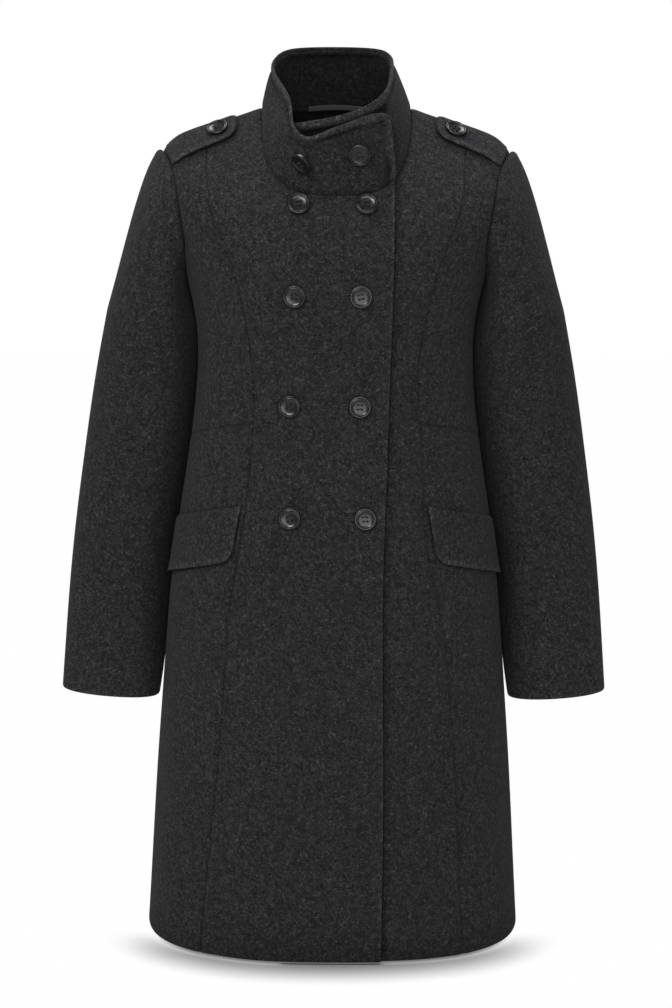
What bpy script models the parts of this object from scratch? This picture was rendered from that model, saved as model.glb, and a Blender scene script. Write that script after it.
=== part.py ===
"""Knee-length double-breasted wool overcoat, filled out as when it is worn, with nobody in it.

Metres, +Z up. The front faces -Y and the wearer's left is at +X. The origin is on the centre line at the
base of the neck, level with the inner ends of the shoulder seams, where the wearer's shoulders carry it.

The body of the coat is one smooth surface, drawn through a stack of rings from the hem to the neckline.
A place on it is an angle round the ring (0 at the +X side, 90 degrees at the front, -90 at the back) and
a level, the distance run up the stack. Each panel is a wall between seam lines drawn on that surface.
Flaps, straps and buttons are laid on it by walking over it in real distances.
"""

import math
from collections import namedtuple

import bmesh
import bpy
import numpy as np

# ---------------------------------------------------------------- sizes of the cloth and the seams
CLOTH = 0.003
COLLAR_CLOTH = 0.004
SEAM_GAP = 0.0003
LAP = 0.0037  # the over front lies this far outside the under front
LAP_START = 0.008  # and reaches that distance this far before the under front's edge
COLLAR_LAP = 0.0046
SHARP_ANGLE = math.radians(50)
RIDGE = 1.45  # how sharply each ring bends down from its side towards its front and back

# ---------------------------------------------------------------- the rings of the body, hem first
Ring = namedtuple(
    "Ring",
    "side_z front_z back_z half_width front_y back_y front_round back_round "
    "seam_right seam_left over_edge under_edge",
)
RINGS = {
    # level name           side_z front_z  back_z  half_w front_y back_y f_rnd b_rnd seam_r seam_l  over   under
    "hem": Ring(-0.9455, -0.9485, -0.9460, 0.2172, -0.150, 0.140, 2.65, 2.30, 0.150, 0.148, 0.0552, 0.058),
    "knee": Ring(-0.8550, -0.8580, -0.8550, 0.2118, -0.145, 0.136, 2.45, 2.30, 0.142, 0.143, 0.0558, 0.058),
    "skirt": Ring(-0.7530, -0.7550, -0.7530, 0.2055, -0.140, 0.131, 2.35, 2.30, 0.132, 0.138, 0.0560, 0.058),
    "thigh": Ring(-0.6520, -0.6530, -0.6520, 0.1978, -0.135, 0.126, 2.35, 2.30, 0.123, 0.130, 0.0548, 0.058),
    "hip": Ring(-0.5600, -0.5620, -0.5620, 0.1903, -0.130, 0.119, 2.35, 2.30, 0.117, 0.119, 0.0540, 0.058),
    "high_hip": Ring(-0.4700, -0.4710, -0.4720, 0.1795, -0.122, 0.107, 2.35, 2.30, 0.103, 0.101, 0.0550, 0.058),
    "waist_seam": Ring(-0.3800, -0.3820, -0.3820, 0.1655, -0.114, 0.092, 2.35, 2.30, 0.092, 0.097, 0.0578, 0.058),
    "waist": Ring(-0.2950, -0.3000, -0.2950, 0.1565, -0.110, 0.084, 2.35, 2.30, 0.090, 0.091, 0.0596, 0.058),
    "ribs": Ring(-0.2400, -0.2550, -0.2400, 0.1580, -0.117, 0.089, 2.35, 2.30, 0.095, 0.095, 0.0608, 0.057),
    "bust": Ring(-0.1700, -0.2080, -0.1780, 0.1730, -0.124, 0.100, 2.40, 2.30, 0.105, 0.106, 0.0620, 0.055),
    "chest": Ring(-0.1050, -0.1700, -0.1220, 0.1900, -0.119, 0.106, 2.45, 2.30, 0.119, 0.119, 0.0630, 0.051),
    "shoulder": Ring(-0.0512, -0.1400, -0.0700, 0.1942, -0.109, 0.101, 2.45, 2.30, 0.136, 0.135, 0.0636, 0.047),
    "strap": Ring(-0.0235, -0.1200, -0.0360, 0.1430, -0.100, 0.086, 2.70, 2.20, 0.143, 0.142, 0.0640, 0.044),
    "neck": Ring(-0.0035, -0.0995, -0.0040, 0.0828, -0.090, 0.062, 3.50, 2.05, 0.146, 0.145, 0.0640, 0.042),
}

# ---------------------------------------------------------------- armholes, seams and how finely they are cut
ARMHOLE_FOOT_Z = -0.205  # the lowest point of the armhole, at the side
ARMHOLE_BACK = math.radians(25)  # how far it reaches round to the back
ArmholePoint = namedtuple("ArmholePoint", "turn height")
ARMHOLE_FRONT = (
    # turn is how many degrees it reaches round to the front, and height its share of the armhole's height:
    # it is fullest high up, and rises over the front edge of the shoulder before it meets its ridge.
    ArmholePoint(0, 0.0),
    ArmholePoint(10, 0.075),
    ArmholePoint(20, 0.25),
    ArmholePoint(29, 0.46),
    ArmholePoint(33, 0.67),
    ArmholePoint(34.5, 0.84),
    ArmholePoint(31, 0.985),
    ArmholePoint(22, 1.048),
    ArmholePoint(10, 1.032),
    ArmholePoint(0, 1.0),
)
WAIST_SEAM_FRONT_Z = -0.346
WAIST_SEAM_SIDE_Z = -0.374

ARMHOLE_PIECES = 11
SIDE_PIECES = 6
SKIRT_PIECES = 13
UPPER_PIECES = ARMHOLE_PIECES + SIDE_PIECES
FRONT_COLUMNS = 12
BACK_COLUMNS = 10
INNER_SHOULDER_PIECES = 3
OUTER_SHOULDER_PIECES = 5

# ---------------------------------------------------------------- sleeves
SleeveRing = namedtuple("SleeveRing", "outer_x outer_z inner_x inner_z middle_y depth")
SLEEVE_RINGS = (
    # The arm hangs a little behind the widest line of the body, and its cuff swings forward.
    # outer_x outer_z  inner_x inner_z middle_y depth
    SleeveRing(0.2589, -0.2266, 0.1595, -0.2477, 0.008, 0.148),
    SleeveRing(0.2750, -0.3008, 0.1577, -0.3210, 0.026, 0.137),
    SleeveRing(0.2905, -0.3951, 0.1692, -0.4144, 0.032, 0.124),
    SleeveRing(0.3025, -0.4831, 0.1824, -0.4994, 0.030, 0.111),
    SleeveRing(0.3104, -0.5697, 0.1926, -0.5819, 0.018, 0.097),
    SleeveRing(0.3135, -0.6351, 0.1983, -0.6452, -0.004, 0.082),
    SleeveRing(0.3139, -0.6633, 0.2017, -0.6723, -0.022, 0.068),
)
SLEEVE_ROUND = 2.15
SLEEVE_HEAD_PIECES = 7
HEAD_CROWDING = 1.25  # above 1, its rows lie closer together at the armhole
SLEEVE_LENGTH_PIECES = 10
# The sleeve leaves the armhole outwards, and meets the first sleeve ring along the arm.
HEAD_START_TOP = (0.060, 0.0, 0.040)
HEAD_START_FOOT = (0.018, 0.0, -0.008)
HEAD_START_FORWARD = 0.020
HEAD_END_TOP = (0.050, 0.0, -0.160)
HEAD_END_FOOT = (-0.004, 0.0, -0.030)
UNDER_SLEEVE_FRONT = 9  # armhole pieces from the shoulder to the sleeve's front and back seams
UNDER_SLEEVE_BACK = 6

# ---------------------------------------------------------------- collar
CollarStation = namedtuple("CollarStation", "turn top_x top_y top_z layer")
COLLAR = (
    # The band starts under the front, runs round the +X side and the back, and ends over the front.
    # turn is the angle of its foot on the neckline; layer is 0 where it lies inside and 1 where outside.
    CollarStation(118, -0.041, -0.079, -0.0205, 0),
    CollarStation(106, -0.022, -0.084, -0.0175, 0),
    CollarStation(90, 0.005, -0.086, -0.012, 0),
    CollarStation(70, 0.032, -0.083, -0.002, 0),
    CollarStation(48, 0.0515, -0.067, 0.013, 0),
    CollarStation(24, 0.0590, -0.034, 0.033, 0),
    CollarStation(0, 0.0605, 0.004, 0.049, 0),
    CollarStation(-30, 0.0535, 0.036, 0.0615, 0),
    CollarStation(-60, 0.0305, 0.050, 0.0653, 0),
    CollarStation(-90, 0.0, 0.0535, 0.0660, 0),
    CollarStation(-120, -0.0325, 0.050, 0.0653, 0),
    CollarStation(-150, -0.0600, 0.034, 0.0605, 0),
    CollarStation(-180, -0.0712, 0.004, 0.045, 0.15),
    CollarStation(-200, -0.0610, -0.034, 0.0230, 0.45),
    CollarStation(-220, -0.0495, -0.067, -0.0010, 0.8),
    CollarStation(-234, -0.0445, -0.0870, -0.0260, 1),
    CollarStation(-244, -0.0340, -0.0935, -0.0350, 1),
    CollarStation(-256, -0.0110, -0.0950, -0.0290, 1),
    CollarStation(-272, 0.0150, -0.0950, -0.0192, 1),
    CollarStation(-291, 0.0400, -0.0925, -0.0108, 1),
    CollarStation(-313, 0.0580, -0.0885, -0.0095, 1),
)
COLLAR_PIECES = 62
COLLAR_ROWS = 5
COLLAR_BOW = 0.0015  # the band swells outwards this much between its foot and its top edge
COLLAR_CORNER = 0.008
COLLAR_CORNER_DROP = 0.45  # how far an end's top point drops, as a share of the corner
COLLAR_GAP = 0.0009  # over the neckline, whose panels run straight between their points

# ---------------------------------------------------------------- flaps, straps, loop and buttons
FLAP_Z = -0.438  # the inner end of a flap's top edge
FLAP_LENGTH = 0.118
FLAP_DEPTH = 0.062
FLAP_DROP = math.radians(15)  # its top edge slopes down towards the side
FLAP_LEAN = 0.014  # its foot stands this much nearer the side than its top edge
FLAP_CORNER = 0.012
FLAP_X = {"right": 0.104, "left": 0.102}

STRAP_START_Y = -0.022
STRAP_LENGTH = 0.088
STRAP_WIDTH = 0.050
STRAP_END_WIDTH = 0.040
STRAP_CORNER = 0.012
STRAP_BUTTON_FROM_END = 0.020
STRAP_FROM_ARMHOLE = 0.002
STRAP_CUT_BACK = 0.0125  # its outer end follows the armhole, which is this much further in at its front corner
STRAP_CUT_CURVE = 1.6
STRAP_ALONG = (-1, 0.02, 0.45)  # towards the neck, up the slope of the shoulder
STRAP_ACROSS = (0, -1, -0.7)  # towards the front

LAID_GAP = 0.0008  # what lies on a panel clears it by this much, so that flat facets never meet

LOOP_LENGTH = 0.064
LOOP_HEIGHT = 0.006
LOOP_CLOTH = 0.0014
LOOP_BOW = 0.0025
LOOP_Z = -0.0075
LOOP_ARCH = 0.002  # its middle is higher than its ends
LOOP_LEAN = 0.0012  # and its upper edge stands further from the collar

BUTTON_RADIUS = 0.0122
BUTTON_BACK_RADIUS = 0.0096
BUTTON_FACE_RADIUS = 0.0114
BUTTON_THICKNESS = 0.0038
BUTTON_DISH = 0.0012
BUTTON_RIM = 0.0022
BUTTON_SHANK = 0.0012
BUTTON_SIDES = 18
ButtonRow = namedtuple("ButtonRow", "z right_x left_x")
BUTTON_ROWS = (
    # z      right_x   left_x
    ButtonRow(-0.1072, -0.0402, 0.0331),
    ButtonRow(-0.2055, -0.0438, 0.0269),
    ButtonRow(-0.3265, -0.0491, 0.0267),
    ButtonRow(-0.4490, -0.0484, 0.0332),
)
CollarButton = namedtuple("CollarButton", "along up shank lean")
COLLAR_BUTTONS = {
    # The right one hangs loosely on its thread, turned towards the wearer's right and down.
    "right": CollarButton(0.843, 0.56, 0.0072, (-0.60, 0.0, -0.70)),
    "left": CollarButton(0.953, 0.50, 0.0018, (0.0, 0.0, 0.0)),
}

Paint = namedtuple("Paint", "colour roughness metallic")
CLOTH_PAINT = Paint((0.030, 0.030, 0.033), 0.9, 0.0)
BUTTON_PAINT = Paint((0.008, 0.008, 0.010), 0.2, 0.0)
LOOP_PAINT = Paint((0.020, 0.020, 0.022), 0.7, 0.0)


# ---------------------------------------------------------------- curves and the surface of the body
def smooth_through(knots, rows):
    """A cubic of continuous curvature through the rows, as a function of the place along the knots."""
    knots = np.asarray(knots, float)
    rows = np.asarray(rows, float)
    steps = np.diff(knots)
    slopes = np.diff(rows, axis=0) / steps[:, None]
    last = len(knots) - 1
    system = np.eye(last + 1)
    right_side = np.zeros_like(rows)
    for k in range(1, last):
        system[k, k - 1 : k + 2] = steps[k - 1], 2 * (steps[k - 1] + steps[k]), steps[k]
        right_side[k] = 6 * (slopes[k] - slopes[k - 1])
    bends = np.linalg.solve(system, right_side)

    def at(place):
        place = np.asarray(place, float)
        k = np.clip(np.searchsorted(knots, place, side="right") - 1, 0, last - 1)
        step = steps[k][..., None]
        before = (knots[k + 1] - place)[..., None] / step
        after = 1 - before
        straight = before * rows[k] + after * rows[k + 1]
        bend = (before**3 - before) * bends[k] + (after**3 - after) * bends[k + 1]
        return straight + bend * step**2 / 6

    return at


def ring_levels():
    """The level of each ring: the mean distance run up the side and up the front."""
    rows = list(RINGS.values())
    levels = [0.0]
    for below, above in zip(rows, rows[1:]):
        side = math.hypot(above.half_width - below.half_width, above.side_z - below.side_z)
        front = math.hypot(above.front_y - below.front_y, above.front_z - below.front_z)
        levels.append(levels[-1] + (side + front) / 2)
    return dict(zip(RINGS, levels))


LEVELS = ring_levels()
TOP = LEVELS["neck"]
ring_columns = smooth_through(list(LEVELS.values()), list(RINGS.values()))
SMALL = 1e-4
WALK_STEPS = 12


def unit(vectors):
    return vectors / np.linalg.norm(vectors, axis=-1, keepdims=True)


def on_body(angle, level):
    """Points of the body's outer surface."""
    angle, level = np.broadcast_arrays(np.asarray(angle, float), np.asarray(level, float))
    ring = Ring(*np.moveaxis(ring_columns(level), -1, 0))
    front = np.sin(angle) >= 0
    power = np.where(front, ring.front_round, ring.back_round)
    across = np.abs(np.cos(angle))
    along = np.abs(np.sin(angle))
    reach = (across**power + along**power) ** (-1 / power)
    depth = along * reach
    x = ring.half_width * np.cos(angle) * reach
    y = np.where(front, ring.front_y, ring.back_y) * depth
    z = ring.side_z + (np.where(front, ring.front_z, ring.back_z) - ring.side_z) * depth**RIDGE
    return np.stack([x, y, z], axis=-1)


def body_slopes(angle, level):
    by_angle = (on_body(angle + SMALL, level) - on_body(angle - SMALL, level)) / (2 * SMALL)
    by_level = (on_body(angle, level + SMALL) - on_body(angle, level - SMALL)) / (2 * SMALL)
    return by_angle, by_level


def body_normal(angle, level):
    by_angle, by_level = body_slopes(angle, level)
    return unit(np.cross(by_level, by_angle))


def body_off(angle, level, out):
    """Points that stand out from the body's surface, or lie inside it where out is negative."""
    return on_body(angle, level) + body_normal(angle, level) * np.asarray(out)[..., None]


def front_angle(x, level):
    """The angle at which the front of the ring is x from the centre line."""
    ring = Ring(*np.moveaxis(ring_columns(level), -1, 0))
    across = np.clip(x / ring.half_width, -1, 1)
    depth = (1 - np.abs(across) ** ring.front_round) ** (1 / ring.front_round)
    return np.arctan2(depth, across)


def bisect(low, high, is_low):
    for _ in range(50):
        middle = (low + high) / 2
        if is_low(middle):
            low = middle
        else:
            high = middle
    return (low + high) / 2


def level_of_side(z):
    return bisect(0.0, TOP, lambda level: on_body(0.0, level)[2] < z)


def front_spot(x, z):
    """The angle and level of the front's point at x and z."""
    level = bisect(0.0, TOP, lambda level: on_body(front_angle(x, level), level)[2] < z)
    return front_angle(x, level), level


# ---------------------------------------------------------------- lines on the body
def resample(line, pieces):
    """The line cut into pieces of equal length on the surface."""
    points = on_body(line[:, 0], line[:, 1])
    run = np.concatenate([[0], np.cumsum(np.linalg.norm(np.diff(points, axis=0), axis=1))])
    stops = np.linspace(0, run[-1], pieces + 1)
    return np.column_stack([np.interp(stops, run, line[:, k]) for k in (0, 1)])


def line(angles, levels, pieces):
    angles, levels = np.broadcast_arrays(angles, levels)
    return resample(np.column_stack([angles, levels]).astype(float), pieces)


def joined(*lines):
    """Lines end to end, as one."""
    return np.concatenate([lines[0]] + [following[1:] for following in lines[1:]])


STEPS = np.linspace(0, 1, 241)


class Side:
    """The seam lines of one side of the body, drawn for +X and turned over for the wearer's right."""

    def __init__(self, name):
        self.name = name
        self.right = name == "right"
        column = "seam_right" if self.right else "seam_left"
        self.seam_x = lambda level: getattr(Ring(*np.moveaxis(ring_columns(level), -1, 0)), column)
        self.seam_top = bisect(
            LEVELS["shoulder"],
            TOP,
            lambda level: self.seam_x(level) < ring_columns(level)[Ring._fields.index("half_width")],
        )
        shoulder = LEVELS["shoulder"]
        foot = level_of_side(ARMHOLE_FOOT_Z)
        waist = level_of_side(WAIST_SEAM_SIDE_Z)
        seam_waist = bisect(
            0.0, TOP, lambda level: on_body(self.seam_angle(level), level)[2] < WAIST_SEAM_FRONT_Z
        )
        # Squared steps crowd together at the ridge of the shoulder, where the seam turns over it.
        falling = self.seam_top - (self.seam_top - seam_waist) * STEPS**2
        self.princess_upper = self.line(self.seam_angle(falling[::-1]), falling[::-1], UPPER_PIECES)
        rising = seam_waist * STEPS
        self.princess_lower = self.line(self.seam_angle(rising), rising, SKIRT_PIECES)
        self.side_upper = self.line(0.0, waist + (foot - waist) * STEPS, SIDE_PIECES)
        self.side_lower = self.line(0.0, waist * STEPS, SKIRT_PIECES)
        middle, half = (foot + shoulder) / 2, (shoulder - foot) / 2
        round_levels = middle - half * np.cos(math.pi * STEPS)
        bulge = np.sin(math.pi * STEPS)
        self.armhole_back = self.line(-ARMHOLE_BACK * bulge, round_levels, ARMHOLE_PIECES)
        turn, height = smooth_through(np.arange(len(ARMHOLE_FRONT)), ARMHOLE_FRONT)(
            STEPS * (len(ARMHOLE_FRONT) - 1)
        ).T
        self.armhole_front = self.line(
            np.radians(turn), foot + (shoulder - foot) * height, ARMHOLE_PIECES
        )
        self.shoulder_inner = self.line(0.0, TOP + (self.seam_top - TOP) * STEPS, INNER_SHOULDER_PIECES)
        self.shoulder_outer = self.line(
            0.0, self.seam_top + (shoulder - self.seam_top) * STEPS, OUTER_SHOULDER_PIECES
        )
        waist_angle = self.seam_angle(seam_waist)
        self.waist = self.line(
            waist_angle * (1 - STEPS), seam_waist + (waist - seam_waist) * STEPS, OUTER_SHOULDER_PIECES
        )
        hem_angle = self.seam_angle(0.0)
        self.hem_side = self.line(hem_angle * (1 - STEPS), 0.0, OUTER_SHOULDER_PIECES)

    def seam_angle(self, level):
        return front_angle(self.seam_x(level), level)

    def line(self, angles, levels, pieces):
        return line(angles, levels, pieces)

    def turned(self, places):
        """Places drawn for +X, moved to this side."""
        if not self.right:
            return places
        return np.stack([math.pi - places[..., 0], places[..., 1]], axis=-1)


# ---------------------------------------------------------------- walls
def patch(bottom, top, left, right):
    """A grid of places that fills the four lines, with a column for each point of bottom and top."""
    i = np.linspace(0, 1, len(bottom))[:, None, None]
    j = np.linspace(0, 1, len(left))[None, :, None]
    upright = (1 - j) * bottom[:, None] + j * top[:, None]
    level = (1 - i) * left[None] + i * right[None]
    corners = (1 - j) * ((1 - i) * bottom[0] + i * bottom[-1]) + j * ((1 - i) * top[0] + i * top[-1])
    return upright + level - corners


def part_seams(grid, surface):
    """Draws the edges of a grid inwards by half the gap of a seam."""
    for axis in (0, 1):
        grid = np.moveaxis(grid, axis, 0).copy()
        points = surface(grid)
        for edge, inner in ((0, 1), (-1, -2)):
            inward = points[inner] - points[edge]
            length = np.linalg.norm(inward, axis=-1)
            along = unit(np.gradient(points[edge], axis=0))
            slant = np.linalg.norm(np.cross(inward / length[:, None], along), axis=-1)
            share = SEAM_GAP / 2 / (length * np.maximum(slant, 0.3))
            grid[edge] = grid[edge] + (grid[inner] - grid[edge]) * share[:, None]
        grid = np.moveaxis(grid, 0, axis)
    return grid


def paint(name, finish):
    material = bpy.data.materials.new(name)
    material.use_nodes = True
    shader = material.node_tree.nodes["Principled BSDF"]
    shader.inputs["Base Color"].default_value = (*finish.colour, 1)
    shader.inputs["Roughness"].default_value = finish.roughness
    shader.inputs["Metallic"].default_value = finish.metallic
    return material


def add_object(name, bm, finish):
    bmesh.ops.recalc_face_normals(bm, faces=bm.faces)
    if bm.calc_volume(signed=True) < 0:
        bmesh.ops.reverse_faces(bm, faces=bm.faces)
    mesh = bpy.data.meshes.new(name)
    bm.to_mesh(mesh)
    bm.free()
    mesh.shade_smooth()
    mesh.set_sharp_from_angle(angle=SHARP_ANGLE)
    mesh.materials.append(paint(name, finish))
    obj = bpy.data.objects.new(name, mesh)
    bpy.data.collections["overcoat"].objects.link(obj)
    return obj


def add_wall(name, outer, inner, finish=CLOTH_PAINT):
    """A flat slab of grid squares, bent so that its two faces pass through the outer and inner points."""
    columns, rows = outer.shape[0] - 1, outer.shape[1] - 1
    bm = bmesh.new()
    bmesh.ops.create_grid(bm, x_segments=columns, y_segments=rows, size=0.5)
    grown = bmesh.ops.extrude_face_region(bm, geom=bm.faces[:])
    for vertex in grown["geom"]:
        if isinstance(vertex, bmesh.types.BMVert):
            vertex.co.z = 1
    for vertex in bm.verts:
        i = round((vertex.co.x + 0.5) * columns)
        j = round((vertex.co.y + 0.5) * rows)
        vertex.co = (outer if vertex.co.z > 0.5 else inner)[i, j]
    return add_object(name, bm, finish)


def add_panel(name, grid, out=None):
    grid = part_seams(grid, lambda places: on_body(places[..., 0], places[..., 1]))
    angle, level = grid[..., 0], grid[..., 1]
    out = np.zeros(angle.shape) if out is None else out(grid)
    return add_wall(name, body_off(angle, level, out), body_off(angle, level, out - CLOTH))


# ---------------------------------------------------------------- the panels of the body
def level_rows(edge_angle, seam, columns):
    """Places in rows of one level, each from a free edge or the centre back across to the seam."""
    levels = seam[:, 1]
    edge = edge_angle(levels)
    share = np.linspace(0, 1, columns + 1)[:, None]
    return np.stack(np.broadcast_arrays(edge + (seam[:, 0] - edge) * share, levels), axis=-1)


def front_grid(side, column, sign):
    """The places of a front panel, whose free edge keeps the x that the ring table gives."""
    field = Ring._fields.index(column)
    seam = joined(side.princess_lower, side.princess_upper, side.shoulder_inner[::-1])

    def edge_angle(levels):
        return front_angle(sign * ring_columns(levels)[..., field], levels)

    return level_rows(edge_angle, side.turned(seam), FRONT_COLUMNS)


def lap(places):
    """How far the over front stands out: nothing along its seams, the full lap over the under front."""
    level = places[..., 1]
    ring = Ring(*np.moveaxis(ring_columns(level), -1, 0))
    seam = -np.minimum(ring.seam_right, ring.half_width)
    full = -ring.under_edge - LAP_START
    x = on_body(places[..., 0], level)[..., 0]
    share = np.clip((x - seam) / (full - seam), 0, 1)
    return LAP * share**2 * (3 - 2 * share)


def make_fronts(sides):
    add_panel("front_right", front_grid(sides["right"], "over_edge", 1), lap)
    add_panel("front_left", front_grid(sides["left"], "under_edge", -1))


def make_side_fronts(side):
    upper = patch(
        side.waist,
        side.shoulder_outer,
        side.princess_upper,
        joined(side.side_upper, side.armhole_front),
    )
    add_panel(f"side_front_upper_{side.name}", side.turned(upper))
    lower = patch(side.hem_side, side.waist, side.princess_lower, side.side_lower)
    add_panel(f"side_front_lower_{side.name}", side.turned(lower))


def make_back(side):
    outer = joined(
        side.side_lower,
        side.side_upper,
        side.armhole_back,
        side.shoulder_outer[::-1],
        side.shoulder_inner[::-1],
    )
    grid = level_rows(lambda levels: np.full(levels.shape, -math.pi / 2), outer, BACK_COLUMNS)
    add_panel(f"back_{side.name}", side.turned(grid))


# ---------------------------------------------------------------- sleeves
def sleeve_ring(ring, angles):
    """Points round a sleeve ring, from its outermost point to the front, the inside and the back."""
    outer = np.array([ring.outer_x, ring.middle_y, ring.outer_z])
    inner = np.array([ring.inner_x, ring.middle_y, ring.inner_z])
    across = np.abs(np.cos(angles))
    along = np.abs(np.sin(angles))
    reach = (across**SLEEVE_ROUND + along**SLEEVE_ROUND) ** (-1 / SLEEVE_ROUND)
    side = (np.cos(angles) * reach)[:, None] * (outer - inner) / 2
    forward = (np.sin(angles) * reach)[:, None] * np.array([0, -ring.depth / 2, 0])
    return (outer + inner) / 2 + side + forward


def armhole_loop(side):
    """Points round the +X armhole from the shoulder to the front, the foot, the back and the shoulder."""
    front = on_body(*side.armhole_front[::-1].T)
    back = on_body(*side.armhole_back.T)
    return joined(front, back)


def sleeve_surface(side):
    """Points of a sleeve's outer surface, [round, down], drawn at +X."""
    loop = armhole_loop(side)
    turns = np.linspace(0, 2 * math.pi, len(loop))
    down = [SLEEVE_RINGS[0].outer_z - ring.outer_z for ring in SLEEVE_RINGS]
    table = smooth_through(down, SLEEVE_RINGS)
    first = sleeve_ring(SLEEVE_RINGS[0], turns)
    high = ((1 + np.cos(turns)) / 2)[:, None]
    start = high * np.array(HEAD_START_TOP) + (1 - high) * np.array(HEAD_START_FOOT)
    start = start + np.sin(turns)[:, None] * np.array([0, -HEAD_START_FORWARD, 0])
    end = high * np.array(HEAD_END_TOP) + (1 - high) * np.array(HEAD_END_FOOT)
    loop = loop + unit(start) * SEAM_GAP
    rows = []
    for t in np.linspace(0, 1, SLEEVE_HEAD_PIECES + 1) ** HEAD_CROWDING:
        rows.append(
            (2 * t**3 - 3 * t**2 + 1) * loop
            + (t**3 - 2 * t**2 + t) * start
            + (3 * t**2 - 2 * t**3) * first
            + (t**3 - t**2) * end
        )
    for t in np.linspace(0, 1, SLEEVE_LENGTH_PIECES + 1)[1:]:
        rows.append(sleeve_ring(SleeveRing(*table(t * down[-1])), turns))
    return np.stack(rows, axis=1)


def closed_normals(points):
    """Outward normals of a tube of points, [round, down], whose first and last columns are the same."""
    ring = points[:-1]
    round_step = np.roll(ring, -1, axis=0) - np.roll(ring, 1, axis=0)
    down_step = np.gradient(ring, axis=1)
    normals = unit(np.cross(round_step, down_step))
    return np.concatenate([normals, normals[:1]])


def make_sleeve(side):
    outer = sleeve_surface(side)
    inner = outer - closed_normals(outer) * CLOTH
    columns = len(outer) - 1
    front_seam = UNDER_SLEEVE_FRONT
    back_seam = columns - UNDER_SLEEVE_BACK
    top = np.r_[back_seam : columns + 1, 1 : front_seam + 1]
    under = np.r_[front_seam : back_seam + 1]
    mirror = np.array([-1, 1, 1]) if side.right else np.ones(3)
    for name, chosen in (("top", top), ("under", under)):
        faces = []
        for surface in (outer, inner):
            strip = surface[chosen] * mirror
            for edge, beside in ((0, 1), (-1, -2)):
                inward = strip[beside] - strip[edge]
                strip[edge] = strip[edge] + unit(inward) * SEAM_GAP / 2
            faces.append(strip)
        add_wall(f"{name}_sleeve_{side.name}", *faces)


# ---------------------------------------------------------------- collar
def collar_surface(columns, rows):
    """Points of the collar's outer surface, [along, up], and their outward normals."""
    stations = [(math.radians(s.turn), s.top_x, s.top_y, s.top_z, s.layer) for s in COLLAR]
    tops = np.array([row[1:4] for row in stations])
    run = np.concatenate([[0], np.cumsum(np.linalg.norm(np.diff(tops, axis=0), axis=1))])
    table = smooth_through(run, stations)(np.linspace(0, run[-1], columns))
    turn, layer = table[:, 0], np.clip(table[:, 4], 0, 1)
    # The over layer stands on the edge of the over front, and clears the under layer inside it.
    raised = layer * lap(np.column_stack([turn, np.full(columns, TOP)]))
    flat = unit(body_normal(turn, TOP) * np.array([1, 1, 0]))
    foot = body_off(turn, TOP, raised) + flat * (layer * COLLAR_LAP - raised)[:, None]
    top = table[:, 1:4]
    foot = foot + unit(top - foot) * COLLAR_GAP
    up = np.linspace(0, 1, rows)[None, :, None]
    straight = foot[:, None] * (1 - up) + top[:, None] * up
    along = np.gradient(straight, axis=0)
    normals = unit(np.cross(along, (top - foot)[:, None]))
    return straight + normals * COLLAR_BOW * np.sin(math.pi * up), normals


def make_collar():
    outer, normals = collar_surface(COLLAR_PIECES + 1, COLLAR_ROWS + 1)
    for end, step in ((0, 1), (-1, -1)):
        # The corner of each end is rounded off: its top point drops and moves in.
        corner = outer[end, -1] - outer[end, -2]
        inward = outer[end + step, -1] - outer[end, -1]
        drop = unit(corner) * COLLAR_CORNER * COLLAR_CORNER_DROP
        outer[end, -1] = outer[end, -1] - drop + inward / 4
    add_wall("collar", outer, outer - normals * COLLAR_CLOTH)


# ---------------------------------------------------------------- what is laid on the body
def walk(places, heading, distance):
    """Places reached by walking over the surface: heading gives the unit direction from the normal."""
    places = np.asarray(places, float)
    step = np.asarray(distance)[..., None] / WALK_STEPS
    for _ in range(WALK_STEPS):
        angle, level = places[..., 0], places[..., 1]
        by_angle, by_level = body_slopes(angle, level)
        goal = heading(body_normal(angle, level)) * step
        aa, bb = (by_angle**2).sum(-1), (by_level**2).sum(-1)
        ab = (by_angle * by_level).sum(-1)
        ga, gb = (goal * by_angle).sum(-1), (goal * by_level).sum(-1)
        share = aa * bb - ab**2
        move = np.stack([ga * bb - gb * ab, gb * aa - ga * ab], axis=-1) / share[..., None]
        places = places + move
    return places


def sloping(side_sign, drop):
    """A heading round the body towards the side, falling at the angle drop."""

    def heading(normal):
        up = unit(np.array([0, 0, 1.0]) - normal * normal[..., 2:])
        outward = np.cross(up, normal) * side_sign
        return outward * math.cos(drop) - up * math.sin(drop)

    return heading


def downwards(normal):
    return -unit(np.array([0, 0, 1.0]) - normal * normal[..., 2:])


def towards(direction):
    direction = np.array(direction, float)

    def heading(normal):
        return unit(direction - normal * (normal @ direction)[..., None])

    return heading


def laid_wall(name, places, out, thickness):
    angle, level = places[..., 0], places[..., 1]
    out = np.asarray(out) + LAID_GAP
    outer = body_off(angle, level, np.broadcast_to(out + thickness, angle.shape))
    inner = body_off(angle, level, np.broadcast_to(out, angle.shape))
    add_wall(name, outer, inner)


def corner_cut(share, length, radius):
    """How much a rounded corner takes off the width, at this share of the length from the square end."""
    into = np.clip((share - (1 - radius / length)) / (radius / length), 0, 0.92)
    return radius * (1 - np.sqrt(1 - into**2))


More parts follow.
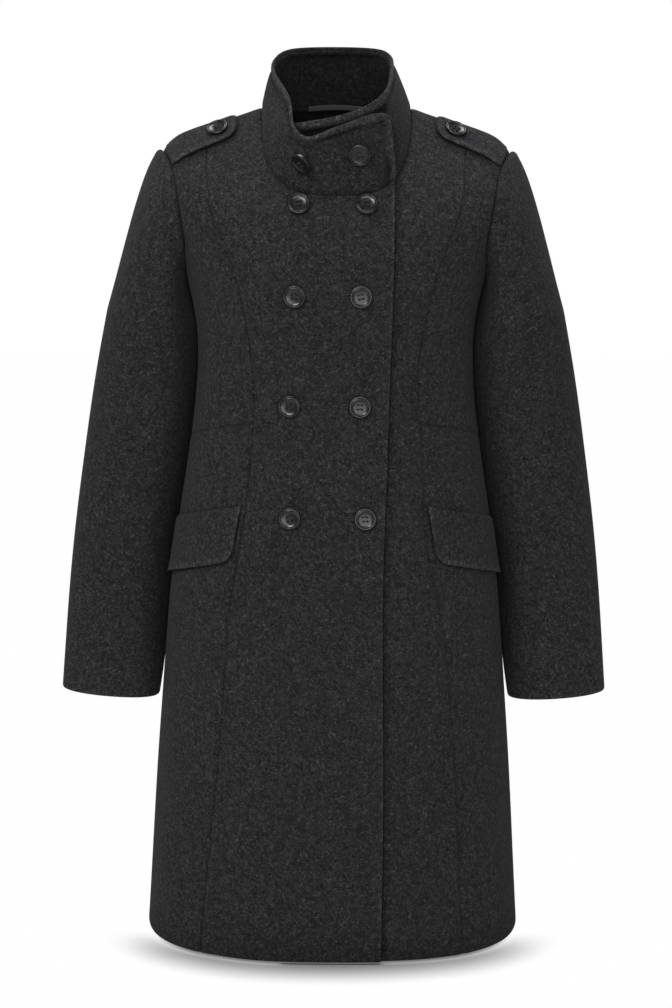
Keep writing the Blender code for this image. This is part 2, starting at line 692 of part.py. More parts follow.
def make_flap(side):
    columns, rows = 9, 4
    sign = -1 if side.right else 1
    x = sign * FLAP_X[side.name]
    start = np.array(front_spot(x, FLAP_Z))
    share = np.linspace(0, 1, columns + 1)
    top = walk(np.tile(start, (columns + 1, 1)), sloping(sign, FLAP_DROP), share * FLAP_LENGTH)
    depth = FLAP_DEPTH - corner_cut(1 - share, FLAP_LENGTH, FLAP_CORNER)
    down = np.linspace(0, 1, rows + 1)
    grid = np.repeat(top[:, None], rows + 1, axis=1)
    grid = walk(grid, downwards, depth[:, None] * down[None, :])
    lean = FLAP_LEAN * down[None, :] * np.ones((columns + 1, 1))
    grid = walk(grid, sloping(sign, FLAP_DROP), lean)
    laid_wall(f"pocket_flap_{side.name}", grid, 0.0, CLOTH)


def strap_places(side, along, across):
    """Places on the shoulder strap: along it from the armhole, and across it towards the front."""
    sign = -1 if side.right else 1
    level = LEVELS["shoulder"] + SMALL
    start = bisect(0.0, math.pi / 4, lambda angle: on_body(angle, level)[1] > STRAP_START_Y)
    start = np.array([start, level])
    places = np.broadcast_to(start, along.shape + (2,))
    places = walk(places, towards(STRAP_ALONG), along)
    places = walk(places, towards(STRAP_ACROSS), across)
    return side.turned(places) if sign < 0 else places


def make_strap(side):
    columns, rows = 9, 4
    share = np.linspace(0, 1, columns + 1)
    half = (STRAP_WIDTH + (STRAP_END_WIDTH - STRAP_WIDTH) * share) / 2
    half = half - corner_cut(share, STRAP_LENGTH, STRAP_CORNER)
    forward = np.linspace(-1, 1, rows + 1)[None, :]
    outer_end = STRAP_CUT_BACK * ((1 + forward) / 2) ** STRAP_CUT_CURVE
    along = STRAP_FROM_ARMHOLE + share[:, None] * STRAP_LENGTH + (1 - share[:, None]) * outer_end
    across = half[:, None] * forward
    laid_wall(f"shoulder_strap_{side.name}", strap_places(side, along, across), 0.0, CLOTH)


# ---------------------------------------------------------------- buttons and loop
def add_button(name, place, normal):
    """A turned disc with a raised rim and a dished face, its back towards the cloth."""
    profile = (
        (0.0, 0.0),
        (BUTTON_BACK_RADIUS, 0.0),
        (BUTTON_RADIUS, BUTTON_THICKNESS * 0.45),
        (BUTTON_FACE_RADIUS, BUTTON_THICKNESS),
        (BUTTON_RADIUS - BUTTON_RIM, BUTTON_THICKNESS - BUTTON_DISH),
        (0.0, BUTTON_THICKNESS - BUTTON_DISH),
    )
    bm = bmesh.new()
    bottom = bm.verts.new((0, 0, profile[0][1]))
    top = bm.verts.new((0, 0, profile[-1][1]))
    turns = [2 * math.pi * k / BUTTON_SIDES for k in range(BUTTON_SIDES)]
    rings = [[bm.verts.new((r * math.cos(a), r * math.sin(a), z)) for a in turns] for r, z in profile[1:-1]]
    for k in range(BUTTON_SIDES):
        following = (k + 1) % BUTTON_SIDES
        bm.faces.new((bottom, rings[0][following], rings[0][k]))
        bm.faces.new((top, rings[-1][k], rings[-1][following]))
        for lower, upper in zip(rings, rings[1:]):
            bm.faces.new((lower[k], lower[following], upper[following], upper[k]))
    button = add_object(name, bm, BUTTON_PAINT)
    axis = np.array(normal, float)
    side = unit(np.cross([0, 0, 1.0], axis)) if abs(axis[2]) < 0.99 else np.array([1.0, 0, 0])
    turned = np.column_stack([side, np.cross(axis, side), axis])
    for vertex in button.data.vertices:
        vertex.co = turned @ np.array(vertex.co) + np.asarray(place)
    return button


def make_buttons(sides):
    for number, row in enumerate(BUTTON_ROWS, 1):
        for column, x in (("right", row.right_x), ("left", row.left_x)):
            spot = np.array(front_spot(x, row.z))
            out = lap(spot) + BUTTON_SHANK
            add_button(f"button_{column}_{number}", body_off(*spot, out), body_normal(*spot))
    count = 401
    outer, normals = collar_surface(count, 41)
    for column, spot in COLLAR_BUTTONS.items():
        i, j = round(spot.along * (count - 1)), round(spot.up * 40)
        axis = unit(normals[i, 0] + np.array(spot.lean))
        add_button(f"button_collar_{column}", outer[i, j] + normals[i, 0] * spot.shank, axis)
    for side in sides.values():
        along = np.array(STRAP_LENGTH - STRAP_BUTTON_FROM_END)
        spot = strap_places(side, along, np.array(0.0))
        out = LAID_GAP + CLOTH + BUTTON_SHANK
        add_button(f"button_strap_{side.name}", body_off(*spot, out), body_normal(*spot))


def make_loop():
    """A flat strip inside the back of the neck, its middle standing a little off the collar."""
    columns = 10
    x = np.linspace(-0.5, 0.5, columns + 1) * LOOP_LENGTH
    neck = RINGS["neck"]
    back = neck.back_y * (1 - np.abs(x / neck.half_width) ** 2) ** 0.5
    bow = LOOP_BOW * np.cos(math.pi * x / LOOP_LENGTH)
    y = back - COLLAR_CLOTH - 2 * LAID_GAP - bow
    z = LOOP_Z + LOOP_ARCH * np.cos(math.pi * x / LOOP_LENGTH)
    low = np.stack([x, y, z], axis=-1)
    high = low + np.array([0, -LOOP_LEAN, LOOP_HEIGHT])
    outer = np.stack([low, high], axis=1)
    add_wall("hanger_loop", outer, outer - np.array([0, LOOP_CLOTH, 0]), LOOP_PAINT)


def main():
    for obj in list(bpy.data.objects):
        bpy.data.objects.remove(obj, do_unlink=True)
    collection = bpy.data.collections.new("overcoat")
    bpy.context.scene.collection.children.link(collection)
    sides = {name: Side(name) for name in ("right", "left")}
    make_fronts(sides)
    for side in sides.values():
        make_side_fronts(side)
        make_back(side)
        make_sleeve(side)
        make_flap(side)
        make_strap(side)
    make_collar()
    make_loop()
    make_buttons(sides)


main()
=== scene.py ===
"""The charcoal wool overcoat, dressed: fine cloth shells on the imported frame, buttons, stitching and studio.

Metres, +Z up. The front faces -Y and the wearer's left is at +X. The coat's form is the frame's own:
the same rings, seam lines, sleeve rings and collar stations, followed here at a finer pitch.
"""

import math
from collections import namedtuple

import bmesh
import bpy
import numpy as np
from mathutils import Matrix, Vector


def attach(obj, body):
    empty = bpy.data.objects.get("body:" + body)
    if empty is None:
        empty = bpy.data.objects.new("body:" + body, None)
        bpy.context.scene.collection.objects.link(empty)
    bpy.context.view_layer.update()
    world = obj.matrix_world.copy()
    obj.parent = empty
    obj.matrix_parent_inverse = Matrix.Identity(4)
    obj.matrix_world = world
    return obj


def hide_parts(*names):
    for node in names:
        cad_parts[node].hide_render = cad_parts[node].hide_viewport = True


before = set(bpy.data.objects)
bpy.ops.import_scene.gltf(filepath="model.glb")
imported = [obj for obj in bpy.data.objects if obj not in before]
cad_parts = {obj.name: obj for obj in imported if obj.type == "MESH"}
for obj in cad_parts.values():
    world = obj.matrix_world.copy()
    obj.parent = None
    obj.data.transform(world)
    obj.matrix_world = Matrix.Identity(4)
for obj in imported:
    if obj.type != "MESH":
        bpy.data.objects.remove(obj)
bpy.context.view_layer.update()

# ---------------------------------------------------------------- sizes of the cloth and the seams
CLOTH = 0.003
COLLAR_CLOTH = 0.004
SEAM_GAP = 0.0003
LAP = 0.0037
LAP_START = 0.008
COLLAR_LAP = 0.0046
RIDGE = 1.45
LAID_GAP = 0.0008

# ---------------------------------------------------------------- a record for the flat size of a sheet as cut
Cut = namedtuple("Cut", "width length area")

# ---------------------------------------------------------------- the rings of the body, hem first
Ring = namedtuple(
    "Ring",
    "side_z front_z back_z half_width front_y back_y front_round back_round "
    "seam_right seam_left over_edge under_edge",
)
RINGS = {
    # level: side_z, front_z, back_z, half_width, front_y, back_y, front_round, back_round,
    #        seam_right, seam_left, over_edge, under_edge
    "hem": (-0.9455, -0.9485, -0.9460, 0.2172, -0.150, 0.140, 2.65, 2.30, 0.150, 0.148, 0.0552, 0.058),
    "knee": (-0.8550, -0.8580, -0.8550, 0.2118, -0.145, 0.136, 2.45, 2.30, 0.142, 0.143, 0.0558, 0.058),
    "skirt": (-0.7530, -0.7550, -0.7530, 0.2055, -0.140, 0.131, 2.35, 2.30, 0.132, 0.138, 0.0560, 0.058),
    "thigh": (-0.6520, -0.6530, -0.6520, 0.1978, -0.135, 0.126, 2.35, 2.30, 0.123, 0.130, 0.0548, 0.058),
    "hip": (-0.5600, -0.5620, -0.5620, 0.1903, -0.130, 0.119, 2.35, 2.30, 0.117, 0.119, 0.0540, 0.058),
    "high_hip": (-0.4700, -0.4710, -0.4720, 0.1795, -0.122, 0.107, 2.35, 2.30, 0.103, 0.101, 0.0550, 0.058),
    "waist_seam": (-0.3800, -0.3820, -0.3820, 0.1655, -0.114, 0.092, 2.35, 2.30, 0.092, 0.097, 0.0578, 0.058),
    "waist": (-0.2950, -0.3000, -0.2950, 0.1565, -0.110, 0.084, 2.35, 2.30, 0.090, 0.091, 0.0596, 0.058),
    "ribs": (-0.2400, -0.2550, -0.2400, 0.1580, -0.117, 0.089, 2.35, 2.30, 0.095, 0.095, 0.0608, 0.057),
    "bust": (-0.1700, -0.2080, -0.1780, 0.1730, -0.124, 0.100, 2.40, 2.30, 0.105, 0.106, 0.0620, 0.055),
    "chest": (-0.1050, -0.1700, -0.1220, 0.1900, -0.119, 0.106, 2.45, 2.30, 0.119, 0.119, 0.0630, 0.051),
    "shoulder": (-0.0512, -0.1400, -0.0700, 0.1942, -0.109, 0.101, 2.45, 2.30, 0.136, 0.135, 0.0636, 0.047),
    "strap": (-0.0235, -0.1200, -0.0360, 0.1430, -0.100, 0.086, 2.70, 2.20, 0.143, 0.142, 0.0640, 0.044),
    "neck": (-0.0035, -0.0995, -0.0040, 0.0828, -0.090, 0.062, 3.50, 2.05, 0.146, 0.145, 0.0640, 0.042),
}
RINGS = {level: Ring(*row) for level, row in RINGS.items()}

ARMHOLE_FOOT_Z = -0.205
ARMHOLE_BACK = math.radians(25)
ArmholePoint = namedtuple("ArmholePoint", "turn height")
ARMHOLE_FRONT = tuple(
    ArmholePoint(*row)
    for row in (
        # how many degrees it reaches round to the front, at this share of the armhole's height
        (0, 0.0),
        (10, 0.075),
        (20, 0.25),
        (29, 0.46),
        (33, 0.67),
        (34.5, 0.84),
        (31, 0.985),
        (22, 1.048),
        (10, 1.032),
        (0, 1.0),
    )
)
WAIST_SEAM_FRONT_Z = -0.346
WAIST_SEAM_SIDE_Z = -0.374

# How finely each seam line is cut: about a point for every 7 mm of cloth.
ARMHOLE_PIECES = 30
SIDE_PIECES = 18
SKIRT_PIECES = 78
UPPER_PIECES = ARMHOLE_PIECES + SIDE_PIECES
PANEL_COLUMNS = 32
INNER_SHOULDER_PIECES = 8
OUTER_SHOULDER_PIECES = 14

# ---------------------------------------------------------------- sleeves
SleeveRing = namedtuple("SleeveRing", "outer_x outer_z inner_x inner_z middle_y depth")
SLEEVE_RINGS = tuple(
    SleeveRing(*row)
    for row in (
        # outer_x, outer_z, inner_x, inner_z, middle_y, depth
        (0.2589, -0.2266, 0.1595, -0.2477, 0.008, 0.148),
        (0.2750, -0.3008, 0.1577, -0.3210, 0.026, 0.137),
        (0.2905, -0.3951, 0.1692, -0.4144, 0.032, 0.124),
        (0.3025, -0.4831, 0.1824, -0.4994, 0.030, 0.111),
        (0.3104, -0.5697, 0.1926, -0.5819, 0.018, 0.097),
        (0.3135, -0.6351, 0.1983, -0.6452, -0.004, 0.082),
        (0.3139, -0.6633, 0.2017, -0.6723, -0.022, 0.068),
    )
)
SLEEVE_ROUND = 2.15
HEAD_CROWDING = 1.25
HEAD_START_TOP = (0.060, 0.0, 0.020)
HEAD_START_FOOT = (0.018, 0.0, -0.008)
HEAD_START_FORWARD = 0.020
HEAD_END_TOP = (0.050, 0.0, -0.160)
HEAD_END_FOOT = (-0.004, 0.0, -0.030)
# The frame's armhole loop has 22 pieces: the under sleeve starts 9 from the front, and ends 6 from the back.
UNDER_FRONT_SHARE = 9 / 22
UNDER_BACK_SHARE = 6 / 22
HEAD_LIFT = 0.0015
HEAD_LIFT_AT = 0.006
HEAD_LIFT_WIDTH = 0.005
# The inner side of the sleeve is this much fuller, round this z, this far up and down.
INNER_SIDE_FULLER = ((0.0012, -0.36, 0.16), (0.0026, -0.245, 0.05))
SLEEVE_HEAD_ROWS = 24
SLEEVE_LENGTH_ROWS = 58
TOP_SLEEVE_COLUMNS = 40
UNDER_SLEEVE_COLUMNS = 20

# ---------------------------------------------------------------- collar
CollarStation = namedtuple("CollarStation", "turn top_x top_y top_z layer")
COLLAR = tuple(
    CollarStation(*row)
    for row in (
        # turn, top_x, top_y, top_z, layer: from the hidden end round the back to the end that shows
        (128, -0.0495, -0.0715, -0.0215, 0),
        (118, -0.041, -0.079, -0.0205, 0),
        (106, -0.022, -0.084, -0.0175, 0),
        (90, 0.005, -0.086, -0.012, 0),
        (70, 0.032, -0.083, -0.002, 0),
        (48, 0.0515, -0.067, 0.013, 0),
        (24, 0.0590, -0.034, 0.033, 0),
        (0, 0.0605, 0.004, 0.049, 0),
        (-30, 0.0535, 0.036, 0.0615, 0),
        (-60, 0.0305, 0.050, 0.0653, 0),
        (-90, 0.0, 0.0535, 0.0660, 0),
        (-120, -0.0325, 0.050, 0.0653, 0),
        (-150, -0.0600, 0.034, 0.0605, 0),
        (-180, -0.0712, 0.004, 0.045, 0.15),
        (-200, -0.0610, -0.034, 0.0230, 0.45),
        (-220, -0.0495, -0.067, -0.0010, 0.8),
        (-234, -0.0445, -0.0870, -0.0260, 1),
        (-244, -0.0340, -0.0935, -0.0350, 1),
        (-256, -0.0110, -0.0950, -0.0290, 1),
        (-272, 0.0150, -0.0950, -0.0192, 1),
        (-291, 0.0400, -0.0925, -0.0108, 1),
        (-313, 0.0580, -0.0885, -0.0095, 1),
    )
)
COLLAR_COLUMNS = 150
COLLAR_ROWS = 16
COLLAR_BOW = 0.0015
COLLAR_CORNER = 0.008
COLLAR_HIDDEN_CORNER = 0.002
COLLAR_HIDDEN_LENGTH = 0.12  # this much of its under end lies behind the over end
COLLAR_FOOT_IN = 0.0024
# how much painted shade darkens the whole collar's colour
COLLAR_PAINTED_SHADE = 0.18
COLLAR_SUNK = 0.0040  # its foot runs this far below the neckline, inside the seam

# ---------------------------------------------------------------- flaps, straps, loop and buttons
FLAP_Z = -0.4355
FLAP_LENGTH = 0.118
FLAP_DEPTH = 0.0625
FLAP_DEEPER = 0.0045  # its outer end is this much deeper than its inner one
FLAP_DROP = math.radians(12.5)
FLAP_LEAN = 0.0085
FLAP_CORNER = 0.012
FLAP_X = {"right": 0.1015, "left": 0.1010}

STRAP_START_Y = -0.022
STRAP_LENGTH = 0.088
STRAP_WIDTH = 0.050
STRAP_END_WIDTH = 0.040
STRAP_CORNER = 0.012
STRAP_BUTTON_FROM_END = 0.020
STRAP_FROM_ARMHOLE = 0.002
STRAP_CUT_BACK = 0.0125
STRAP_CUT_CURVE = 1.6
STRAP_ALONG = (-1, 0.02, 0.45)
STRAP_ACROSS = (0, -1, -0.7)

LOOP_LENGTH = 0.064
LOOP_HEIGHT = 0.006
LOOP_CLOTH = 0.0014
LOOP_BOW = 0.0025
LOOP_Z = -0.0075
LOOP_ARCH = 0.002
LOOP_LEAN = 0.0012

BUTTON_RADIUS = 0.0122
BUTTON_THICKNESS = 0.0038
BUTTON_SHANK = 0.0012
ButtonRow = namedtuple("ButtonRow", "z right_x left_x")
BUTTON_ROWS = (
    # z      right_x   left_x
    ButtonRow(-0.1100, -0.0402, 0.0331),
    ButtonRow(-0.2055, -0.0438, 0.0269),
    ButtonRow(-0.3265, -0.0491, 0.0267),
    ButtonRow(-0.4490, -0.0484, 0.0332),
)
CollarButton = namedtuple("CollarButton", "along up shank lean")
COLLAR_BUTTONS = {
    "right": CollarButton(0.847, 0.55, 0.0092, (-0.92, 0.0, -1.05)),
    "left": CollarButton(0.954, 0.52, 0.0042, (-0.10, 0.0, -0.38)),
}

# ---------------------------------------------------------------- how seams and edges are shaped
NEAR_EDGE = (0.0009, 0.0024, 0.0045)  # extra rows and columns this far from each edge
SEAM_DEPTH = 0.0011
SEAM_WIDTH = 0.0017
SIDE_SEAM_DEPTH = 0.0005  # the side and sleeve seams are pressed flatter
ALLOWANCE_LIFT = 0.00035  # the pressed-open seam allowance lifts the cloth beside a seam
ALLOWANCE_AT = 0.0065
ALLOWANCE_WIDTH = 0.004
SEAM_MEET = 0.0007  # each sewn edge runs on this far under the seam's line, so that no light comes through
ARMHOLE_MEET = 0.0028  # the sleeve head's edge is turned in this far under the body
ARMHOLE_SUNK = 0.0012
EDGE_ROLL = 0.0012
EDGE_ROLL_REACH = 0.0022
STITCH_INSET = 0.0095
STITCH_DEPTH = 0.0024
STITCH_GROOVE = 0.0019
STITCH_PUFF = 0.0013
PUFF_AT = STITCH_INSET * 0.45
PUFF_WIDTH = 0.0032
FRONT_PUFF = 0.0007
FRONT_PUFF_AT = 0.0038
FRONT_PUFF_WIDTH = 0.0024


# ---------------------------------------------------------------- curves and the surface of the body
def smooth_through(knots, rows):
    """A cubic of continuous curvature through the rows, as a function of the place along the knots."""
    knots = np.asarray(knots, float)
    rows = np.asarray(rows, float)
    steps = np.diff(knots)
    slopes = np.diff(rows, axis=0) / steps[:, None]
    last = len(knots) - 1
    system = np.eye(last + 1)
    right_side = np.zeros_like(rows)
    for k in range(1, last):
        system[k, k - 1 : k + 2] = steps[k - 1], 2 * (steps[k - 1] + steps[k]), steps[k]
        right_side[k] = 6 * (slopes[k] - slopes[k - 1])
    bends = np.linalg.solve(system, right_side)

    def at(place):
        place = np.asarray(place, float)
        k = np.clip(np.searchsorted(knots, place, side="right") - 1, 0, last - 1)
        step = steps[k][..., None]
        before = (knots[k + 1] - place)[..., None] / step
        after = 1 - before
        straight = before * rows[k] + after * rows[k + 1]
        bend = (before**3 - before) * bends[k] + (after**3 - after) * bends[k + 1]
        return straight + bend * step**2 / 6

    return at


def ring_levels():
    rows = list(RINGS.values())
    levels = [0.0]
    for below, above in zip(rows, rows[1:]):
        side = math.hypot(above.half_width - below.half_width, above.side_z - below.side_z)
        front = math.hypot(above.front_y - below.front_y, above.front_z - below.front_z)
        levels.append(levels[-1] + (side + front) / 2)
    return dict(zip(RINGS, levels))


LEVELS = ring_levels()
TOP = LEVELS["neck"]
ring_columns = smooth_through(list(LEVELS.values()), list(RINGS.values()))
SMALL = 1e-4
WALK_STEPS = 12


def unit(vectors):
    return vectors / np.linalg.norm(vectors, axis=-1, keepdims=True)


def on_body(angle, level):
    angle, level = np.broadcast_arrays(np.asarray(angle, float), np.asarray(level, float))
    ring = Ring(*np.moveaxis(ring_columns(level), -1, 0))
    front = np.sin(angle) >= 0
    power = np.where(front, ring.front_round, ring.back_round)
    across = np.abs(np.cos(angle))
    along = np.abs(np.sin(angle))
    reach = (across**power + along**power) ** (-1 / power)
    depth = along * reach
    x = ring.half_width * np.cos(angle) * reach
    y = np.where(front, ring.front_y, ring.back_y) * depth
    z = ring.side_z + (np.where(front, ring.front_z, ring.back_z) - ring.side_z) * depth**RIDGE
    return np.stack([x, y, z], axis=-1)


def body_slopes(angle, level):
    by_angle = (on_body(angle + SMALL, level) - on_body(angle - SMALL, level)) / (2 * SMALL)
    by_level = (on_body(angle, level + SMALL) - on_body(angle, level - SMALL)) / (2 * SMALL)
    return by_angle, by_level


def body_normal(angle, level):
    by_angle, by_level = body_slopes(angle, level)
    return unit(np.cross(by_level, by_angle))


def body_off(angle, level, out):
    return on_body(angle, level) + body_normal(angle, level) * np.asarray(out)[..., None]


def front_angle(x, level):
    ring = Ring(*np.moveaxis(ring_columns(level), -1, 0))
    across = np.clip(x / ring.half_width, -1, 1)
    depth = (1 - np.abs(across) ** ring.front_round) ** (1 / ring.front_round)
    return np.arctan2(depth, across)


def bisect(low, high, is_low):
    for _ in range(50):
        middle = (low + high) / 2
        if is_low(middle):
            low = middle
        else:
            high = middle
    return (low + high) / 2


def level_of_side(z):
    return bisect(0.0, TOP, lambda level: on_body(0.0, level)[2] < z)


def front_spot(x, z):
    level = bisect(0.0, TOP, lambda level: on_body(front_angle(x, level), level)[2] < z)
    return front_angle(x, level), level


def line(angles, levels, pieces):
    """A line on the body, cut into pieces of equal length."""
    angles, levels = np.broadcast_arrays(angles, levels)
    places = np.column_stack([angles, levels]).astype(float)
    points = on_body(places[:, 0], places[:, 1])
    run = np.concatenate([[0], np.cumsum(np.linalg.norm(np.diff(points, axis=0), axis=1))])
    stops = np.linspace(0, run[-1], pieces + 1)
    return np.column_stack([np.interp(stops, run, places[:, k]) for k in (0, 1)])


def joined(*lines):
    return np.concatenate([lines[0]] + [following[1:] for following in lines[1:]])


STEPS = np.linspace(0, 1, 481)


class Side:
    """The seam lines of one side of the body, drawn for +X and turned over for the wearer's right."""

    def __init__(self, name):
        self.name = name
        self.right = name == "right"
        column = "seam_right" if self.right else "seam_left"
        self.seam_x = lambda level: getattr(Ring(*np.moveaxis(ring_columns(level), -1, 0)), column)
        half_width = Ring._fields.index("half_width")
        shoulder = LEVELS["shoulder"]
        self.seam_top = bisect(
            shoulder, TOP, lambda level: self.seam_x(level) < ring_columns(level)[half_width]
        )
        foot = level_of_side(ARMHOLE_FOOT_Z)
        waist = level_of_side(WAIST_SEAM_SIDE_Z)
        seam_waist = bisect(
            0.0, TOP, lambda level: on_body(self.seam_angle(level), level)[2] < WAIST_SEAM_FRONT_Z
        )
        falling = self.seam_top - (self.seam_top - seam_waist) * STEPS**2
        self.princess_upper = line(self.seam_angle(falling[::-1]), falling[::-1], UPPER_PIECES)
        rising = seam_waist * STEPS
        self.princess_lower = line(self.seam_angle(rising), rising, SKIRT_PIECES)
        self.side_upper = line(0.0, waist + (foot - waist) * STEPS, SIDE_PIECES)
        self.side_lower = line(0.0, waist * STEPS, SKIRT_PIECES)
        middle, half = (foot + shoulder) / 2, (shoulder - foot) / 2
        round_levels = middle - half * np.cos(math.pi * STEPS)
        bulge = np.sin(math.pi * STEPS)
        self.armhole_back = line(-ARMHOLE_BACK * bulge, round_levels, ARMHOLE_PIECES)
        table = smooth_through(np.arange(len(ARMHOLE_FRONT)), ARMHOLE_FRONT)
        turn, height = table(STEPS * (len(ARMHOLE_FRONT) - 1)).T
        self.armhole_front = line(np.radians(turn), foot + (shoulder - foot) * height, ARMHOLE_PIECES)
        self.shoulder_inner = line(0.0, TOP + (self.seam_top - TOP) * STEPS, INNER_SHOULDER_PIECES)
        self.shoulder_outer = line(
            0.0, self.seam_top + (shoulder - self.seam_top) * STEPS, OUTER_SHOULDER_PIECES
        )
        waist_angle = self.seam_angle(seam_waist)
        self.waist = line(
            waist_angle * (1 - STEPS), seam_waist + (waist - seam_waist) * STEPS, OUTER_SHOULDER_PIECES
        )
        self.hem_side = line(self.seam_angle(0.0) * (1 - STEPS), 0.0, OUTER_SHOULDER_PIECES)

    def seam_angle(self, level):
        return front_angle(self.seam_x(level), level)

    def turned(self, places):
        if not self.right:
            return places
        return np.stack([math.pi - places[..., 0], places[..., 1]], axis=-1)


SIDES = {name: Side(name) for name in ("right", "left")}


def patch(bottom, top, left, right):
    """A grid of places that fills the four lines, with a column for each point of bottom and top."""
    i = np.linspace(0, 1, len(bottom))[:, None, None]
    j = np.linspace(0, 1, len(left))[None, :, None]
    upright = (1 - j) * bottom[:, None] + j * top[:, None]
    level = (1 - i) * left[None] + i * right[None]
    corners = (1 - j) * ((1 - i) * bottom[0] + i * bottom[-1]) + j * ((1 - i) * top[0] + i * top[-1])
    return upright + level - corners


def level_rows(edge_angle, seam, columns):
    """Places in rows of one level, each from a free edge or the centre back across to the seam."""
    levels = seam[:, 1]
    edge = edge_angle(levels)
    share = np.linspace(0, 1, columns + 1)[:, None]
    return np.stack(np.broadcast_arrays(edge + (seam[:, 0] - edge) * share, levels), axis=-1)


def lap(places):
    level = places[..., 1]
    ring = Ring(*np.moveaxis(ring_columns(level), -1, 0))
    seam = -np.minimum(ring.seam_right, ring.half_width)
    full = -ring.under_edge - LAP_START
    x = on_body(places[..., 0], level)[..., 0]
    share = np.clip((x - seam) / (full - seam), 0, 1)
    return LAP * share**2 * (3 - 2 * share)


def walk(places, heading, distance):
    places = np.asarray(places, float)
    step = np.asarray(distance)[..., None] / WALK_STEPS
    for _ in range(WALK_STEPS):
        angle, level = places[..., 0], places[..., 1]
        by_angle, by_level = body_slopes(angle, level)
        goal = heading(body_normal(angle, level)) * step
        aa, bb = (by_angle**2).sum(-1), (by_level**2).sum(-1)
        ab = (by_angle * by_level).sum(-1)
        ga, gb = (goal * by_angle).sum(-1), (goal * by_level).sum(-1)
        share = aa * bb - ab**2
        places = places + np.stack([ga * bb - gb * ab, gb * aa - ga * ab], axis=-1) / share[..., None]
    return places


def sloping(side_sign, drop):
    def heading(normal):
        up = unit(np.array([0, 0, 1.0]) - normal * normal[..., 2:])
        outward = np.cross(up, normal) * side_sign
        return outward * math.cos(drop) - up * math.sin(drop)

    return heading


def downwards(normal):
    return -unit(np.array([0, 0, 1.0]) - normal * normal[..., 2:])


def towards(direction):
    direction = np.array(direction, float)

    def heading(normal):
        return unit(direction - normal * (normal @ direction)[..., None])

    return heading


# ---------------------------------------------------------------- seams, edges and creases in the cloth
def bump(distance, width, power=2):
    """A soft bump: 1 at distance 0, and almost nothing two widths away."""
    return np.exp(-((distance / width) ** power))


def with_edge_lines(grid, points):
    """Adds rows and columns close to each edge of a grid of values, so that seams can sink there."""
    for axis in (0, 1):
        grid, points = np.moveaxis(grid, axis, 0), np.moveaxis(points, axis, 0)
        first = np.linalg.norm(points[1] - points[0], axis=-1)
        last = np.linalg.norm(points[-1] - points[-2], axis=-1)
        near = [np.clip(distance / first, 0, 0.9)[..., None] for distance in NEAR_EDGE]
        far = [np.clip(distance / last, 0, 0.9)[..., None] for distance in NEAR_EDGE[::-1]]
        parts = []
        for values in (grid, points):
            start = np.array([values[0] + (values[1] - values[0]) * share for share in near])
            end = np.array([values[-1] + (values[-2] - values[-1]) * share for share in far])
            parts.append(np.concatenate([values[:1], start, values[1:-1], end, values[-1:]]))
        grid, points = (np.moveaxis(part, 0, axis) for part in parts)
    return grid, points


def edge_distances(points):
    """How far each point is from the first and last column and the first and last row, along the grid."""
    across = np.linalg.norm(np.diff(points, axis=0), axis=-1)
    along = np.linalg.norm(np.diff(points, axis=1), axis=-1)
    left = np.concatenate([np.zeros((1, points.shape[1])), np.cumsum(across, axis=0)])
    bottom = np.concatenate([np.zeros((points.shape[0], 1)), np.cumsum(along, axis=1)], axis=1)
    return {"left": left, "right": left[-1] - left, "bottom": bottom, "top": bottom[:, -1:] - bottom}


def seam_shape(distance):
    """A seam sinks at its line and is lifted by its pressed-open allowance beside it."""
    sunk = SEAM_DEPTH * bump(distance, SEAM_WIDTH)
    lifted = ALLOWANCE_LIFT * bump(distance - ALLOWANCE_AT, ALLOWANCE_WIDTH)
    return lifted - sunk


def edge_shape(distance):
    """A turned edge rolls off."""
    into = np.clip(1 - distance / EDGE_ROLL_REACH, 0, 1)
    return -EDGE_ROLL * into**2


def stitched_shape(distance):
    """A turned edge with a row of topstitching: a puffed roll outside the stitching, a groove along it."""
    groove = STITCH_DEPTH * bump(distance - STITCH_INSET, STITCH_GROOVE)
    puff = STITCH_PUFF * bump(distance - PUFF_AT, PUFF_WIDTH)
    return edge_shape(distance) - groove + puff


def side_seam_shape(distance):
    """A flatter seam at the silhouette, where the sleeve hangs against it."""
    return -SIDE_SEAM_DEPTH * bump(distance, SEAM_WIDTH)


def front_edge_shape(distance):
    """The front's turned edge, a little fuller than the cloth beside it."""
    return edge_shape(distance) + FRONT_PUFF * bump(distance - FRONT_PUFF_AT, FRONT_PUFF_WIDTH)


# Painted light and shade at this distance from an edge: -1 is painted shade, as along a seam or a stitching
# groove, 1 is a painted highlight, as on a rolled or puffed edge.
PAINTED_EDGE_SHADING = {
    "seam": lambda distance: -0.30 * bump(distance, SEAM_WIDTH),
    "side": lambda distance: -0.30 * bump(distance, SEAM_WIDTH),
    "edge": lambda distance: 0.35 * bump(distance, 0.0026),
    "front": lambda distance: 0.65 * bump(distance, 0.0034),
    "stitched": lambda distance: (
        bump(distance - 0.0036, 0.0048, power=4) - 0.95 * bump(distance - STITCH_INSET, STITCH_GROOVE)
    ),
}

SHAPES = {"seam": seam_shape, "side": side_seam_shape, "edge": edge_shape, "front": front_edge_shape}

